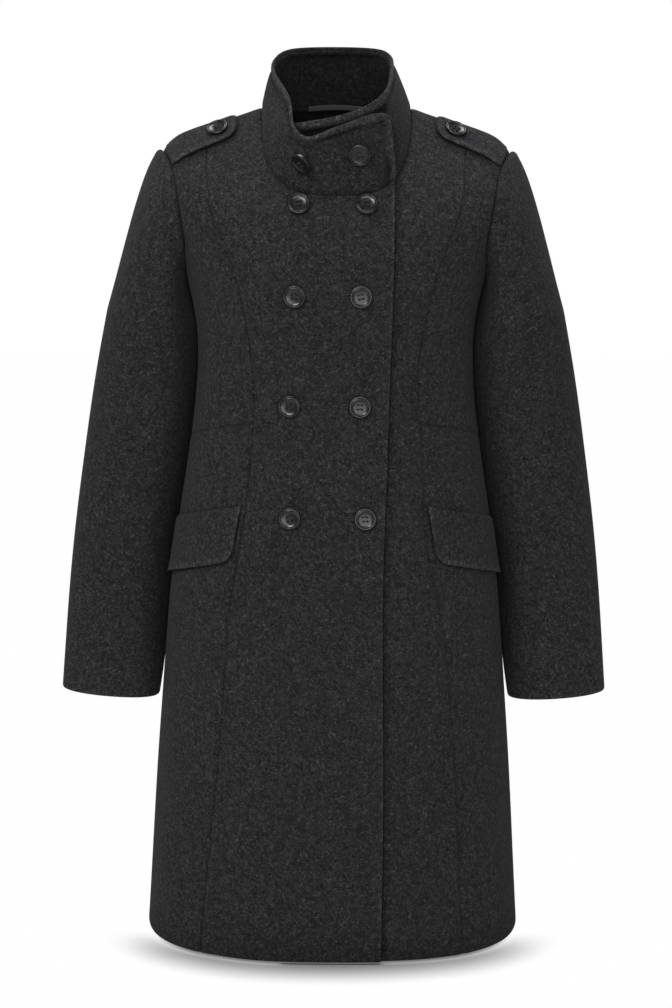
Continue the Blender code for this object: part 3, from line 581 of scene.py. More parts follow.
Crease = namedtuple("Crease", "x y z run_x run_z length width depth")
CREASES = tuple(
    Crease(*row)
    for row in (
        # Soft troughs: where the middle is, which way it runs, and how long, wide and deep it is.
        # the wearer's right sleeve
        (-0.205, -0.060, -0.330, 0.75, 0.66, 0.030, 0.0100, 0.0016),
        (-0.212, -0.058, -0.368, 0.90, 0.42, 0.034, 0.0120, 0.0014),
        (-0.228, -0.054, -0.425, 0.95, 0.30, 0.036, 0.0140, 0.0010),
        (-0.250, -0.052, -0.545, 0.80, 0.60, 0.040, 0.0160, 0.0008),
        (-0.205, -0.065, -0.215, 0.55, -0.83, 0.035, 0.0110, 0.0013),
        (-0.222, 0.062, -0.360, 0.85, 0.52, 0.038, 0.0130, 0.0016),
        (-0.232, 0.058, -0.400, 0.93, 0.36, 0.030, 0.0110, 0.0012),
        (-0.210, 0.070, -0.250, 0.45, -0.89, 0.050, 0.0150, 0.0014),
        # the wearer's left sleeve
        (0.203, -0.061, -0.322, -0.80, 0.60, 0.028, 0.0100, 0.0015),
        (0.214, -0.058, -0.362, -0.92, 0.38, 0.036, 0.0120, 0.0015),
        (0.226, -0.054, -0.410, -0.93, 0.36, 0.030, 0.0130, 0.0009),
        (0.252, -0.050, -0.560, -0.82, 0.57, 0.044, 0.0160, 0.0009),
        (0.207, -0.064, -0.222, -0.50, -0.87, 0.032, 0.0110, 0.0012),
        (0.220, 0.062, -0.352, -0.88, 0.48, 0.034, 0.0120, 0.0015),
        (0.236, 0.057, -0.412, -0.90, 0.44, 0.032, 0.0120, 0.0012),
        (0.208, 0.071, -0.260, -0.42, -0.91, 0.046, 0.0150, 0.0013),
        # across the chest and under the arms
        (0.100, -0.105, -0.100, 1.0, 0.02, 0.040, 0.0055, 0.0006),
        (-0.150, -0.095, -0.215, 0.72, 0.69, 0.030, 0.0100, 0.0010),
        (0.148, -0.096, -0.222, -0.70, 0.71, 0.027, 0.0100, 0.0010),
        (-0.140, 0.070, -0.205, 0.60, 0.80, 0.045, 0.0120, 0.0016),
        (0.142, 0.070, -0.212, -0.62, 0.78, 0.040, 0.0120, 0.0015),
        # round the waist
        (-0.120, -0.080, -0.332, 1.0, 0.10, 0.035, 0.0080, 0.0007),
        (0.124, -0.078, -0.338, 1.0, -0.12, 0.032, 0.0080, 0.0007),
        (-0.070, 0.075, -0.318, 1.0, 0.08, 0.050, 0.0100, 0.0014),
        (0.082, 0.074, -0.330, 1.0, -0.10, 0.046, 0.0090, 0.0012),
        (-0.020, 0.086, -0.296, 1.0, -0.05, 0.055, 0.0110, 0.0011),
        # long soft flutes down the skirt
        (-0.120, -0.122, -0.800, 0.06, 1.0, 0.160, 0.0180, 0.0012),
        (0.112, -0.124, -0.780, -0.05, 1.0, 0.150, 0.0200, 0.0010),
        (0.186, -0.050, -0.800, -0.03, 1.0, 0.130, 0.0180, 0.0014),
        (-0.188, -0.045, -0.770, 0.03, 1.0, 0.140, 0.0190, 0.0014),
        (-0.110, 0.118, -0.770, 0.04, 1.0, 0.170, 0.0220, 0.0028),
        (0.085, 0.124, -0.800, -0.03, 1.0, 0.160, 0.0210, 0.0026),
        (0.165, 0.080, -0.760, -0.05, 1.0, 0.150, 0.0200, 0.0022),
        (-0.170, 0.078, -0.790, 0.05, 1.0, 0.140, 0.0210, 0.0022),
    )
)


CREASE_REACH = 0.05  # a crease marks only the cloth that is this near it, not the coat's other side
CREASE_RIDGE = 0.8


def crease_depth(points, normals):
    """How far the creases draw each point in: a soft trough with a low ridge on each side."""
    drawn = np.zeros(points.shape[:-1])
    for crease in CREASES:
        middle = np.array([crease.x, crease.y, crease.z])
        run = unit(np.array([crease.run_x, 0, crease.run_z]))
        away = points - middle
        flat = away - normals * (away * normals).sum(-1, keepdims=True)
        along = (flat * run).sum(-1) / crease.length
        across = np.linalg.norm(flat - run * (flat * run).sum(-1, keepdims=True), axis=-1) / crease.width
        near = bump((away * normals).sum(-1), CREASE_REACH) * bump(along, 1)
        drawn += crease.depth * near * (1 - CREASE_RIDGE * across**2) * bump(across, 1)
    return drawn


def grid_normals(points):
    across = np.gradient(points, axis=0)
    along = np.gradient(points, axis=1)
    normals = np.cross(along, across)
    return normals / np.maximum(np.linalg.norm(normals, axis=-1, keepdims=True), 1e-12)


# ---------------------------------------------------------------- making the pieces
def deselect():
    if bpy.context.mode != "OBJECT":
        bpy.ops.object.mode_set(mode="OBJECT")
    bpy.ops.object.select_all(action="DESELECT")


def choose(piece):
    deselect()
    piece.select_set(True)
    bpy.context.view_layer.objects.active = piece


def finish_with(piece, material):
    piece.data.materials.clear()
    piece.data.materials.append(material)


def apply_modifiers(piece):
    choose(piece)
    for modifier in list(piece.modifiers):
        bpy.ops.object.modifier_apply(modifier=modifier.name)


def cloth_shell(name, points, thickness, material, painted_shading=None):
    """A grid of cloth squares moved onto its points, given its painted light and shade and its wall, and
    smoothed.
    """
    columns, rows = points.shape[0] - 1, points.shape[1] - 1
    deselect()
    bpy.ops.mesh.primitive_grid_add(x_subdivisions=columns, y_subdivisions=rows, size=1.0)
    piece = bpy.context.object
    piece.name = piece.data.name = name
    places = np.empty(len(piece.data.vertices) * 3)
    piece.data.vertices.foreach_get("co", places)
    places = places.reshape(-1, 3)
    i = np.rint((places[:, 0] + 0.5) * columns).astype(int)
    j = np.rint((places[:, 1] + 0.5) * rows).astype(int)
    piece.data.vertices.foreach_set("co", points[i, j].ravel())
    # The painted light and shade ride along as a point attribute, which the wool's colour reads.
    if painted_shading is not None:
        shade = piece.data.attributes.new("painted_shading", "FLOAT", "POINT")
        shade.data.foreach_set("value", painted_shading[i, j].astype(np.float32))
    piece.data.update()
    wall = piece.modifiers.new("wall", "SOLIDIFY")
    wall.thickness = thickness
    wall.offset = -1
    wall.use_even_offset = False
    soft = piece.modifiers.new("soft", "SUBSURF")
    soft.levels = soft.render_levels = 1
    apply_modifiers(piece)
    piece.data.shade_smooth()
    finish_with(piece, material)
    return piece


def dressed(piece, node):
    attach(piece, "root")
    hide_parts(node)
    return piece


def facing_out(points, painted_shading, normals, i, j):
    """The grid, turned round where its square i, j faces in, so that its wall grows inwards."""
    across, along = points[i + 1, j] - points[i, j], points[i, j + 1] - points[i, j]
    if np.cross(across, along) @ normals[i, j] < 0:
        return points[::-1], painted_shading[::-1]
    return points, painted_shading


def panel(node, grid, edges, out=None, shadow=None):
    """A body panel: its places refined at its edges, its seams sunk, its creases drawn in."""
    points = on_body(grid[..., 0], grid[..., 1])
    grid, points = with_edge_lines(grid, points)
    angle, level = grid[..., 0], grid[..., 1]
    normals = body_normal(angle, level)
    distances = edge_distances(points)
    offset = np.zeros(angle.shape) if out is None else out(grid)
    for edge, kind in edges.items():
        offset = offset + SHAPES[kind](distances[edge])
    # Painted shade along the seams, a painted highlight on the turned edges, and a painted shadow beside the
    # lapping front's edge.
    painted_shading = sum(PAINTED_EDGE_SHADING[kind](distances[edge]) for edge, kind in edges.items())
    if shadow is not None:
        painted_shading = painted_shading - shadow(points, level)
    offset = offset - crease_depth(points, normals)
    shaped = points + normals * offset[..., None]
    shaped = meet_at_seams(shaped, [edge for edge, kind in edges.items() if kind in ("seam", "side")])
    shaped, painted_shading = facing_out(shaped, painted_shading, normals, 0, 1)
    piece = cloth_shell(node + "_cloth", shaped, CLOTH, MATERIALS["wool"], painted_shading)
    return dressed(piece, node)


def meet_at_seams(points, edges):
    """Runs each sewn edge on a little, under the neighbouring piece."""
    points = points.copy()
    ends = {"left": (0, 0, 1), "right": (0, -1, -2), "bottom": (1, 0, 1), "top": (1, -1, -2)}
    for edge in edges:
        axis, outer, inner = ends[edge]
        turned = np.moveaxis(points, axis, 0)
        inward = turned[inner] - turned[outer]
        turned[outer] -= unit(inward) * SEAM_MEET
    return points


def ring_field(column):
    field = Ring._fields.index(column)
    return lambda levels: ring_columns(levels)[..., field]


def under_the_lap(points, level):
    """The shade on the lower front beside the upper one's edge."""
    beside = points[..., 0] - ring_field("over_edge")(level)
    return 0.55 * bump(beside, 0.0055)


def make_fronts():
    for node, column, sign in (("front_right", "over_edge", 1), ("front_left", "under_edge", -1)):
        side = SIDES[node.removeprefix("front_")]
        seam = joined(side.princess_lower, side.princess_upper, side.shoulder_inner[::-1])
        edge_x = ring_field(column)
        grid = level_rows(
            lambda levels: front_angle(sign * edge_x(levels), levels), side.turned(seam), PANEL_COLUMNS
        )
        edges = {"left": "front", "right": "seam", "bottom": "edge", "top": "seam"}
        over = node == "front_right"
        piece = panel(node, grid, edges, lap if over else None, None if over else under_the_lap)


def make_side_fronts(side):
    upper = patch(
        side.waist, side.shoulder_outer, side.princess_upper, joined(side.side_upper, side.armhole_front)
    )
    seams = {"left": "seam", "right": "side", "bottom": "seam", "top": "seam"}
    piece = panel("side_front_upper_" + side.name, side.turned(upper), seams)
    lower = patch(side.hem_side, side.waist, side.princess_lower, side.side_lower)
    piece = panel("side_front_lower_" + side.name, side.turned(lower), dict(seams, bottom="edge"))


def make_back(side):
    outer = joined(
        side.side_lower,
        side.side_upper,
        side.armhole_back,
        side.shoulder_outer[::-1],
        side.shoulder_inner[::-1],
    )
    grid = level_rows(lambda levels: np.full(levels.shape, -math.pi / 2), outer, PANEL_COLUMNS)
    edges = {"left": "seam", "right": "side", "bottom": "edge", "top": "seam"}
    piece = panel("back_" + side.name, side.turned(grid), edges)


def sleeve_ring(ring, angles):
    outer = np.array([ring.outer_x, ring.middle_y, ring.outer_z])
    inner = np.array([ring.inner_x, ring.middle_y, ring.inner_z])
    across = np.abs(np.cos(angles))
    along = np.abs(np.sin(angles))
    reach = (across**SLEEVE_ROUND + along**SLEEVE_ROUND) ** (-1 / SLEEVE_ROUND)
    side = (np.cos(angles) * reach)[:, None] * (outer - inner) / 2
    forward = (np.sin(angles) * reach)[:, None] * np.array([0, -ring.depth / 2, 0])
    return (outer + inner) / 2 + side + forward


def sleeve_surface(side, turns):
    """Points of a sleeve's outer surface, [round, down], drawn at +X, at these turns round it."""
    front = on_body(*side.armhole_front[::-1].T)
    back = on_body(*side.armhole_back.T)
    whole = joined(front, back)
    around = np.linspace(0, 2 * math.pi, len(whole))
    loop = np.column_stack([np.interp(turns % (2 * math.pi), around, whole[:, k]) for k in range(3)])
    down = [SLEEVE_RINGS[0].outer_z - ring.outer_z for ring in SLEEVE_RINGS]
    table = smooth_through(down, SLEEVE_RINGS)
    first = sleeve_ring(SLEEVE_RINGS[0], turns)
    high = ((1 + np.cos(turns)) / 2)[:, None]
    start = high * np.array(HEAD_START_TOP) + (1 - high) * np.array(HEAD_START_FOOT)
    start = start + np.sin(turns)[:, None] * np.array([0, -HEAD_START_FORWARD, 0])
    end = high * np.array(HEAD_END_TOP) + (1 - high) * np.array(HEAD_END_FOOT)
    loop = loop + unit(start) * SEAM_GAP
    rows = []
    for t in np.linspace(0, 1, SLEEVE_HEAD_ROWS + 1) ** HEAD_CROWDING:
        rows.append(
            (2 * t**3 - 3 * t**2 + 1) * loop
            + (t**3 - 2 * t**2 + t) * start
            + (3 * t**2 - 2 * t**3) * first
            + (t**3 - t**2) * end
        )
    for t in np.linspace(0, 1, SLEEVE_LENGTH_ROWS + 1)[1:]:
        rows.append(sleeve_ring(SleeveRing(*table(t * down[-1])), turns))
    return np.stack(rows, axis=1)


def make_sleeve(side):
    under_start = 2 * math.pi * UNDER_FRONT_SHARE
    under_end = 2 * math.pi * (1 - UNDER_BACK_SHARE)
    mirror = np.array([-1, 1, 1]) if side.right else np.ones(3)
    spans = {
        "top_sleeve": (under_end - 2 * math.pi, under_start, TOP_SLEEVE_COLUMNS),
        "under_sleeve": (under_start, under_end, UNDER_SLEEVE_COLUMNS),
    }
    for part, (first, last, columns) in spans.items():
        points = sleeve_surface(side, np.linspace(first, last, columns + 1)) * mirror
        _, points = with_edge_lines(points, points)
        normals = grid_normals(points)
        centre = np.array([mirror[0] * 0.235, -0.01, points[..., 2].mean()])
        middle = (columns // 2, points.shape[1] // 2)
        if normals[middle] @ (points[middle] - centre) < 0:
            normals = -normals
        distances = edge_distances(points)
        offset = side_seam_shape(distances["left"]) + side_seam_shape(distances["right"])
        offset = offset + edge_shape(distances["top"]) - crease_depth(points, normals)
        # The head stands up a little from the armhole seam, and the inner side leans on the body.
        offset = offset + HEAD_LIFT * bump(distances["bottom"] - HEAD_LIFT_AT, HEAD_LIFT_WIDTH)
        inner = np.clip(-normals[..., 0] * mirror[0], 0, 1)
        for fuller, z, width in INNER_SIDE_FULLER:
            offset = offset + inner * fuller * bump(points[..., 2] - z, width)
        offset = offset - ARMHOLE_SUNK * bump(distances["bottom"], SEAM_WIDTH)
        shaped = meet_at_seams(points + normals * offset[..., None], ("left", "right"))
        shaped[:, 0] -= unit(shaped[:, 1] - shaped[:, 0]) * ARMHOLE_MEET
        # Painted shade along the sleeve seams and the armhole seam, and a painted highlight on the cuff's
        # rolled edge.
        painted_shading = PAINTED_EDGE_SHADING["side"](distances["left"]) + PAINTED_EDGE_SHADING["side"](distances["right"])
        painted_shading = painted_shading + PAINTED_EDGE_SHADING["edge"](distances["top"]) + PAINTED_EDGE_SHADING["seam"](distances["bottom"])
        shaped, painted_shading = facing_out(shaped, painted_shading, normals, *middle)
        node = f"{part}_{side.name}"
        piece = cloth_shell(node + "_cloth", shaped, CLOTH, MATERIALS["wool"], painted_shading)
        dressed(piece, node)


# ---------------------------------------------------------------- collar
def collar_surface(shares, up):
    """Points of the collar's outer surface at these shares along it and up it, and their normals."""
    stations = [(math.radians(s.turn), s.top_x, s.top_y, s.top_z, s.layer) for s in COLLAR]
    tops = np.array([row[1:4] for row in stations])
    run = np.concatenate([[0], np.cumsum(np.linalg.norm(np.diff(tops, axis=0), axis=1))])
    table = smooth_through(run, stations)(run[-1] * shares)
    turn, layer = table[:, 0], np.clip(table[:, 4], 0, 1)
    raised = layer * lap(np.column_stack([turn, np.full(len(shares), TOP)]))
    flat = unit(body_normal(turn, TOP) * np.array([1, 1, 0]))
    foot = body_off(turn, TOP, raised) + flat * (layer * COLLAR_LAP - raised)[:, None]
    top = table[:, 1:4]
    foot = foot - unit(top - foot) * COLLAR_SUNK
    up = up[..., None]
    straight = foot[:, None] * (1 - up) + top[:, None] * up
    along = np.gradient(straight, axis=0)
    normals = unit(np.cross(along, (top - foot)[:, None]))
    return straight + normals * COLLAR_BOW * np.sin(math.pi * up), normals, layer


def make_collar():
    shares = np.linspace(0, 1, COLLAR_COLUMNS + 1)
    up = np.broadcast_to(np.linspace(0, 1, COLLAR_ROWS + 1), (len(shares), COLLAR_ROWS + 1)).copy()
    points, _, _ = collar_surface(shares, up)
    length = np.concatenate([[0], np.cumsum(np.linalg.norm(np.diff(points[:, -1], axis=0), axis=1))])
    height = np.linalg.norm(points[:, -1] - points[:, 0], axis=1)
    cut = 0
    for from_end, radius in ((length, COLLAR_HIDDEN_CORNER), (length[-1] - length, COLLAR_CORNER)):
        into = np.clip(1 - from_end / radius, 0, 1)
        cut = cut + radius * (1 - np.sqrt(1 - into**2))
    up = up * (1 - cut / height)[:, None]
    points, normals, layer = collar_surface(shares, up)
    layer = np.broadcast_to(layer[:, None, None], points[..., :1].shape)
    packed, points = with_edge_lines(np.concatenate([normals, layer], axis=-1), points)
    normals, layer = unit(packed[..., :3]), packed[..., 3]
    distances = edge_distances(points)
    rim = np.minimum(np.minimum(distances["left"], distances["right"]), distances["top"])
    puffed = stitched_shape(rim)
    covered = (layer < 2 / 3) & (distances["left"] < COLLAR_HIDDEN_LENGTH)
    offset = np.where(covered, np.minimum(puffed, 0), puffed)
    foot = distances["bottom"] - COLLAR_SUNK
    offset = offset + seam_shape(foot) * 0.6 - COLLAR_FOOT_IN * np.clip(-foot / COLLAR_SUNK, 0, 1)
    offset = offset - crease_depth(points, normals)
    # Painted shade on the under end where it lies behind the over end, along the stitching groove and the foot
    # seam, and over the whole collar; a painted highlight on the rolled rim.
    behind = (distances["left"] < COLLAR_HIDDEN_LENGTH) * np.clip((rim - 0.0085) / 0.002, 0, 1)
    painted_shading = PAINTED_EDGE_SHADING["stitched"](rim) * (1 - behind) - behind + PAINTED_EDGE_SHADING["seam"](foot) - COLLAR_PAINTED_SHADE
    shaped = points + normals * offset[..., None]
    shaped, painted_shading = facing_out(shaped, painted_shading, normals, COLLAR_COLUMNS // 2, COLLAR_ROWS // 2)
    piece = cloth_shell("collar_cloth", shaped, COLLAR_CLOTH, MATERIALS["wool"], painted_shading)
    dressed(piece, "collar")


# ---------------------------------------------------------------- flaps, straps and loop
def corner_cut(distance, radius):
    into = np.clip(1 - distance / radius, 0, 0.995)
    return radius * (1 - np.sqrt(1 - into**2))


def laid_piece(kind, side, places, hinged, sewn, curls):
    """A piece laid on a panel: its hinged edge sewn down, this deep and far, its free edges curled out."""
    points = on_body(places[..., 0], places[..., 1])
    places, points = with_edge_lines(places, points)
    normals = body_normal(places[..., 0], places[..., 1])
    distances = edge_distances(points)
    free = [edge for edge in ("left", "right", "bottom", "top") if edge != hinged]
    rim = np.minimum.reduce([distances[edge] for edge in free])
    offset = LAID_GAP + CLOTH + edge_shape(rim) + 0.0003 * bump(rim - 0.004, 0.003)
    offset = offset - sewn[0] * bump(distances[hinged], sewn[1])
    for edge, height, reach in curls:
        offset = offset + height * np.exp(-distances[edge] / reach)
    # Painted highlight along the curled free edges, painted shade along the sewn edge.
    painted_shading = 0.75 * bump(rim - 0.0020, 0.0042) - 0.9 * bump(distances[hinged], 0.0015)
    shaped = points + normals * offset[..., None]
    shaped, painted_shading = facing_out(shaped, painted_shading, normals, 1, 2)
    node = f"{kind}_{side.name}"
    piece = dressed(cloth_shell(node + "_cloth", shaped, CLOTH, MATERIALS["wool"], painted_shading), node)


def make_flap(side):
    columns, rows = 30, 16
    sign = -1 if side.right else 1
    start = np.array(front_spot(sign * FLAP_X[side.name], FLAP_Z))
    share = np.linspace(0, 1, columns + 1) ** 1.2
    top = walk(np.tile(start, (columns + 1, 1)), sloping(sign, FLAP_DROP), share * FLAP_LENGTH)
    depth = FLAP_DEPTH + FLAP_DEEPER * share - corner_cut(share * FLAP_LENGTH, FLAP_CORNER)
    down = np.linspace(0, 1, rows + 1)
    grid = np.repeat(top[:, None], rows + 1, axis=1)
    grid = walk(grid, downwards, depth[:, None] * down[None, :])
    grid = walk(grid, sloping(sign, FLAP_DROP), FLAP_LEAN * down[None, :] * np.ones((columns + 1, 1)))
    laid_piece(
        "pocket_flap",
        side,
        grid,
        hinged="bottom",
        sewn=(0.0026, 0.0026),
        curls=(("top", 0.0024, 0.008), ("left", 0.0010, 0.006)),
    )


def strap_places(side, along, across):
    level = LEVELS["shoulder"] + SMALL
    start = bisect(0.0, math.pi / 4, lambda angle: on_body(angle, level)[1] > STRAP_START_Y)
    places = np.broadcast_to(np.array([start, level]), along.shape + (2,))
    places = walk(places, towards(STRAP_ALONG), along)
    places = walk(places, towards(STRAP_ACROSS), across)
    return side.turned(places)


def make_strap(side):
    columns, rows = 24, 14
    share = 1 - (1 - np.linspace(0, 1, columns + 1)) ** 1.3
    half = (STRAP_WIDTH + (STRAP_END_WIDTH - STRAP_WIDTH) * share) / 2
    half = half - corner_cut((1 - share) * STRAP_LENGTH, STRAP_CORNER)
    forward = np.linspace(-1, 1, rows + 1)[None, :]
    outer_end = STRAP_CUT_BACK * ((1 + forward) / 2) ** STRAP_CUT_CURVE
    along = STRAP_FROM_ARMHOLE + share[:, None] * STRAP_LENGTH + (1 - share[:, None]) * outer_end
    across = half[:, None] * forward
    laid_piece(
        "shoulder_strap",
        side,
        strap_places(side, along, across),
        hinged="left",
        sewn=(0.0029, 0.0125),
        curls=(("top", 0.0020, 0.008), ("right", 0.0020, 0.010)),
    )


def make_loop():
    columns, rows = 40, 4
    x = np.linspace(-0.5, 0.5, columns + 1) * LOOP_LENGTH
    neck = RINGS["neck"]
    back = neck.back_y * (1 - np.abs(x / neck.half_width) ** 2) ** 0.5
    bow = LOOP_BOW * np.cos(math.pi * x / LOOP_LENGTH)
    y = back - COLLAR_CLOTH - 2 * LAID_GAP - bow - LOOP_CLOTH
    z = LOOP_Z + LOOP_ARCH * np.cos(math.pi * x / LOOP_LENGTH)
    low = np.stack([x, y, z], axis=-1)
    high = low + np.array([0, -LOOP_LEAN, LOOP_HEIGHT])
    up = np.linspace(0, 1, rows + 1)[None, :, None]
    points = low[:, None] * (1 - up) + high[:, None] * up
    piece = cloth_shell("hanger_loop_tape", points, LOOP_CLOTH, MATERIALS["tape"])
    dressed(piece, "hanger_loop")


# ---------------------------------------------------------------- finishes
class Nodes:
    """Short calls for placing nodes in one tree and joining them."""

    def __init__(self, tree):
        self.tree = tree

    def add(self, kind, **settings):
        node = self.tree.nodes.new(kind)
        for key, value in settings.items():
            if key in node.bl_rna.properties:
                setattr(node, key, value)
            else:
                node.inputs[key.replace("_", " ")].default_value = value
        return node

    def join(self, start, end):
        self.tree.links.new(start, end)

    def feed(self, sockets, values):
        """Joins or sets each socket, as its value is another node's output or a plain value."""
        for socket, value in zip(sockets, values):
            if isinstance(value, bpy.types.NodeSocket):
                self.join(value, socket)
            elif value is not None:
                socket.default_value = value

    def math(self, operation, first, second=None):
        node = self.add("ShaderNodeMath", operation=operation)
        self.feed(node.inputs, (first, second))
        return node.outputs[0]

    def vector_math(self, operation, first, second):
        node = self.add("ShaderNodeVectorMath", operation=operation)
        self.feed(node.inputs, (first, second))
        return node.outputs["Value" if operation == "DOT_PRODUCT" else "Vector"]

    def scaled(self, vector, scale):
        node = self.add("ShaderNodeVectorMath", operation="SCALE")
        self.feed((node.inputs[0], node.inputs["Scale"]), (vector, scale))
        return node.outputs["Vector"]

    def noise(self, vector, scale, detail=2.0, roughness=0.5, distortion=0.0):
        node = self.add("ShaderNodeTexNoise", Scale=scale, Detail=detail)
        self.feed((node.inputs["Roughness"], node.inputs["Distortion"]), (roughness, distortion))
        self.join(vector, node.inputs["Vector"])
        return node.outputs["Fac"]

    def ramp(self, value, low, high):
        node = self.add("ShaderNodeMapRange", interpolation_type="SMOOTHSTEP", From_Min=low, From_Max=high)
        self.join(value, node.inputs["Value"])
        return node.outputs["Result"]

    def mixed(self, factor, first, second):
        node = self.add("ShaderNodeMix", data_type="RGBA")
        colours = [socket for socket in node.inputs if socket.type == "RGBA"]
        self.feed((node.inputs["Factor"], *colours), (factor, first, second))
        return node.outputs["Result"]

    def object_place(self):
        return self.add("ShaderNodeTexCoord").outputs["Object"]

    def split(self, vector):
        node = self.add("ShaderNodeSeparateXYZ")
        self.join(vector, node.inputs["Vector"])
        return node

    def relief(self, height, strength, distance, shader):
        node = self.add("ShaderNodeBump", Strength=strength, Distance=distance)
        self.join(height, node.inputs["Height"])
        self.join(node.outputs["Normal"], shader.inputs["Normal"])


# Layers of curled fibres: shift, scale, distortion, a fibre's width, and the level that breaks it off.
PALE_CURLS = (((0, 0, 0), 280.0, 0.9, 0.055, 0.48), ((3.1, 1.7, 5.3), 400.0, 0.7, 0.070, 0.50))
DARK_CURLS = (((7.7, 2.9, 1.1), 320.0, 0.9, 0.065, 0.46), ((4.4, 8.2, 6.5), 440.0, 0.6, 0.075, 0.48))


def wool_fibre_group():
    """Curled pale and dark fibres pressed into a felted face, and the low relief that they make."""
    outputs = ("Pale fibres", "Dark fibres", "Mottle", "Grain", "Height")
    group = bpy.data.node_groups.new("wool_fibres", "ShaderNodeTree")
    sockets = group.interface
    sockets.new_socket(name="Vector", in_out="INPUT", socket_type="NodeSocketVector")
    sockets.new_socket(name="Scale", in_out="INPUT", socket_type="NodeSocketFloat").default_value = 1.0
    for label in outputs:
        sockets.new_socket(name=label, in_out="OUTPUT", socket_type="NodeSocketFloat")
    n = Nodes(group)
    given = n.add("NodeGroupInput").outputs
    out = n.add("NodeGroupOutput")
    place = n.scaled(given["Vector"], given["Scale"])

    def curls(shift, scale, distortion, width, keep):
        """Short curled lines: where a noise crosses its middle value, broken up by a second one."""
        moved = n.vector_math("ADD", place, shift)
        wave = n.noise(moved, scale, 0.0, 0.5, distortion)
        away = n.math("ABSOLUTE", n.math("SUBTRACT", wave, 0.5))
        core = n.math("SUBTRACT", 1.0, n.ramp(away, 0.0, width))
        broken = n.ramp(n.noise(moved, scale * 0.75, 0.0), keep, keep + 0.06)
        return n.math("MULTIPLY", core, broken)

    pale = n.math("MAXIMUM", *(curls(*row) for row in PALE_CURLS))
    dark = n.math("MAXIMUM", *(curls(*row) for row in DARK_CURLS))
    mottle = n.noise(place, 120.0, 2.0, 0.6, 0.2)
    grain = n.noise(place, 620.0, 1.0, 0.6)
    height = n.math("ADD", n.math("MULTIPLY", pale, 0.50), n.math("MULTIPLY", grain, 0.55))
    height = n.math("SUBTRACT", height, n.math("MULTIPLY", dark, 0.40))
    for label, value in zip(outputs, (pale, dark, mottle, grain, height)):
        n.join(value, out.inputs[label])
    return group


def new_material(name, **values):
    """A material with these values set on its shader's sockets, the builder of its nodes, and the shader."""
    material = bpy.data.materials.new(name)
    material.use_nodes = True
    shader = material.node_tree.nodes["Principled BSDF"]
    for label, value in values.items():
        shader.inputs[label.replace("_", " ")].default_value = value
    return material, Nodes(material.node_tree), shader


WOOL_DEEP = (0.0150, 0.0150, 0.0162, 1)
WOOL_GROUND = (0.0345, 0.0345, 0.0368, 1)
WOOL_DARK_FIBRE = (0.0060, 0.0060, 0.0066, 1)
WOOL_PALE_FIBRE = (0.1000, 0.0995, 0.1030, 1)
# How strong the painted highlight on rolled edges and the painted shade along seams and inside the neck are.
EDGE_PAINTED_HIGHLIGHT = 0.75
SEAM_PAINTED_SHADE = 0.85
NECK_PAINTED_SHADE = 0.55
CREVICE_REACH = 0.075
CREVICE_PAINTED_SHADE = 0.30  # painted shade: how much of the wool's colour is left deep inside a seam or a fold
NECK_MIDDLE = (0.0, -0.02, 0.0)
BLACK = (0, 0, 0, 1)
TAPE_DARK = (0.020, 0.020, 0.022, 1)
TAPE_PALE = (0.048, 0.048, 0.052, 1)
BUTTON_DARK = (0.006, 0.006, 0.007, 1)
BUTTON_PALE = (0.022, 0.021, 0.023, 1)
THREAD_DARK = (0.004, 0.004, 0.005, 1)
THREAD_PALE = (0.014, 0.014, 0.016, 1)


def inside_neck(n, where):
    """A mask of the faces that look inwards round the neck, where little light reaches the wool."""
    away = n.vector_math("SUBTRACT", where["Object"], NECK_MIDDLE)
    level = n.vector_math("MULTIPLY", away, (-1.0, -1.0, 0.0))
    facing = n.ramp(n.vector_math("DOT_PRODUCT", level, where["Normal"]), 0.008, 0.035)
    high = n.ramp(n.split(where["Object"]).outputs["Z"], -0.08, -0.05)
    return n.math("MULTIPLY", facing, high)


def wool_material(fibres):
    material, n, shader = new_material(
        "charcoal_melange_wool",
        Roughness=0.95,
        Specular_IOR_Level=0.12,
        Sheen_Weight=0.10,
        Sheen_Roughness=0.50,
        Sheen_Tint=(0.85, 0.86, 0.90, 1),
    )
    where = n.add("ShaderNodeTexCoord").outputs
    group = n.add("ShaderNodeGroup", node_tree=fibres)
    n.join(where["Object"], group.inputs["Vector"])
    wool = group.outputs
    ground = n.math("ADD", n.math("MULTIPLY", wool["Mottle"], 0.45), n.math("MULTIPLY", wool["Grain"], 0.55))
    base = n.mixed(n.ramp(ground, 0.36, 0.64), WOOL_DEEP, WOOL_GROUND)
    base = n.mixed(n.math("MULTIPLY", wool["Dark fibres"], 0.80), base, WOOL_DARK_FIBRE)
    base = n.mixed(n.math("MULTIPLY", wool["Pale fibres"], 0.75), base, WOOL_PALE_FIBRE)
    # Painted shade in seams, folds, inside the neck and between sleeve and body, wherever other cloth is near.
    nearby = n.add("ShaderNodeAmbientOcclusion", samples=8, Distance=CREVICE_REACH)
    base = n.mixed(n.ramp(nearby.outputs["AO"], 0.20, 0.92), n.mixed(CREVICE_PAINTED_SHADE, BLACK, base), base)
    # The cloth's painted highlight and shade from its attribute, and painted shade on the faces inside the
    # neck.
    painted_shading = n.add("ShaderNodeAttribute", attribute_name="painted_shading").outputs["Fac"]
    lighter = n.math("MULTIPLY", n.math("MAXIMUM", painted_shading, 0.0), EDGE_PAINTED_HIGHLIGHT)
    darker = n.math("MULTIPLY", n.math("MINIMUM", painted_shading, 0.0), SEAM_PAINTED_SHADE)
    open_neck = n.math("SUBTRACT", 1.0, n.math("MULTIPLY", inside_neck(n, where), NECK_PAINTED_SHADE))
    shade = n.math("MULTIPLY", n.math("ADD", n.math("ADD", lighter, darker), 1.0), open_neck)
    n.join(n.scaled(base, shade), shader.inputs["Base Color"])
    n.relief(wool["Height"], 0.80, 0.0007, shader)
    return material


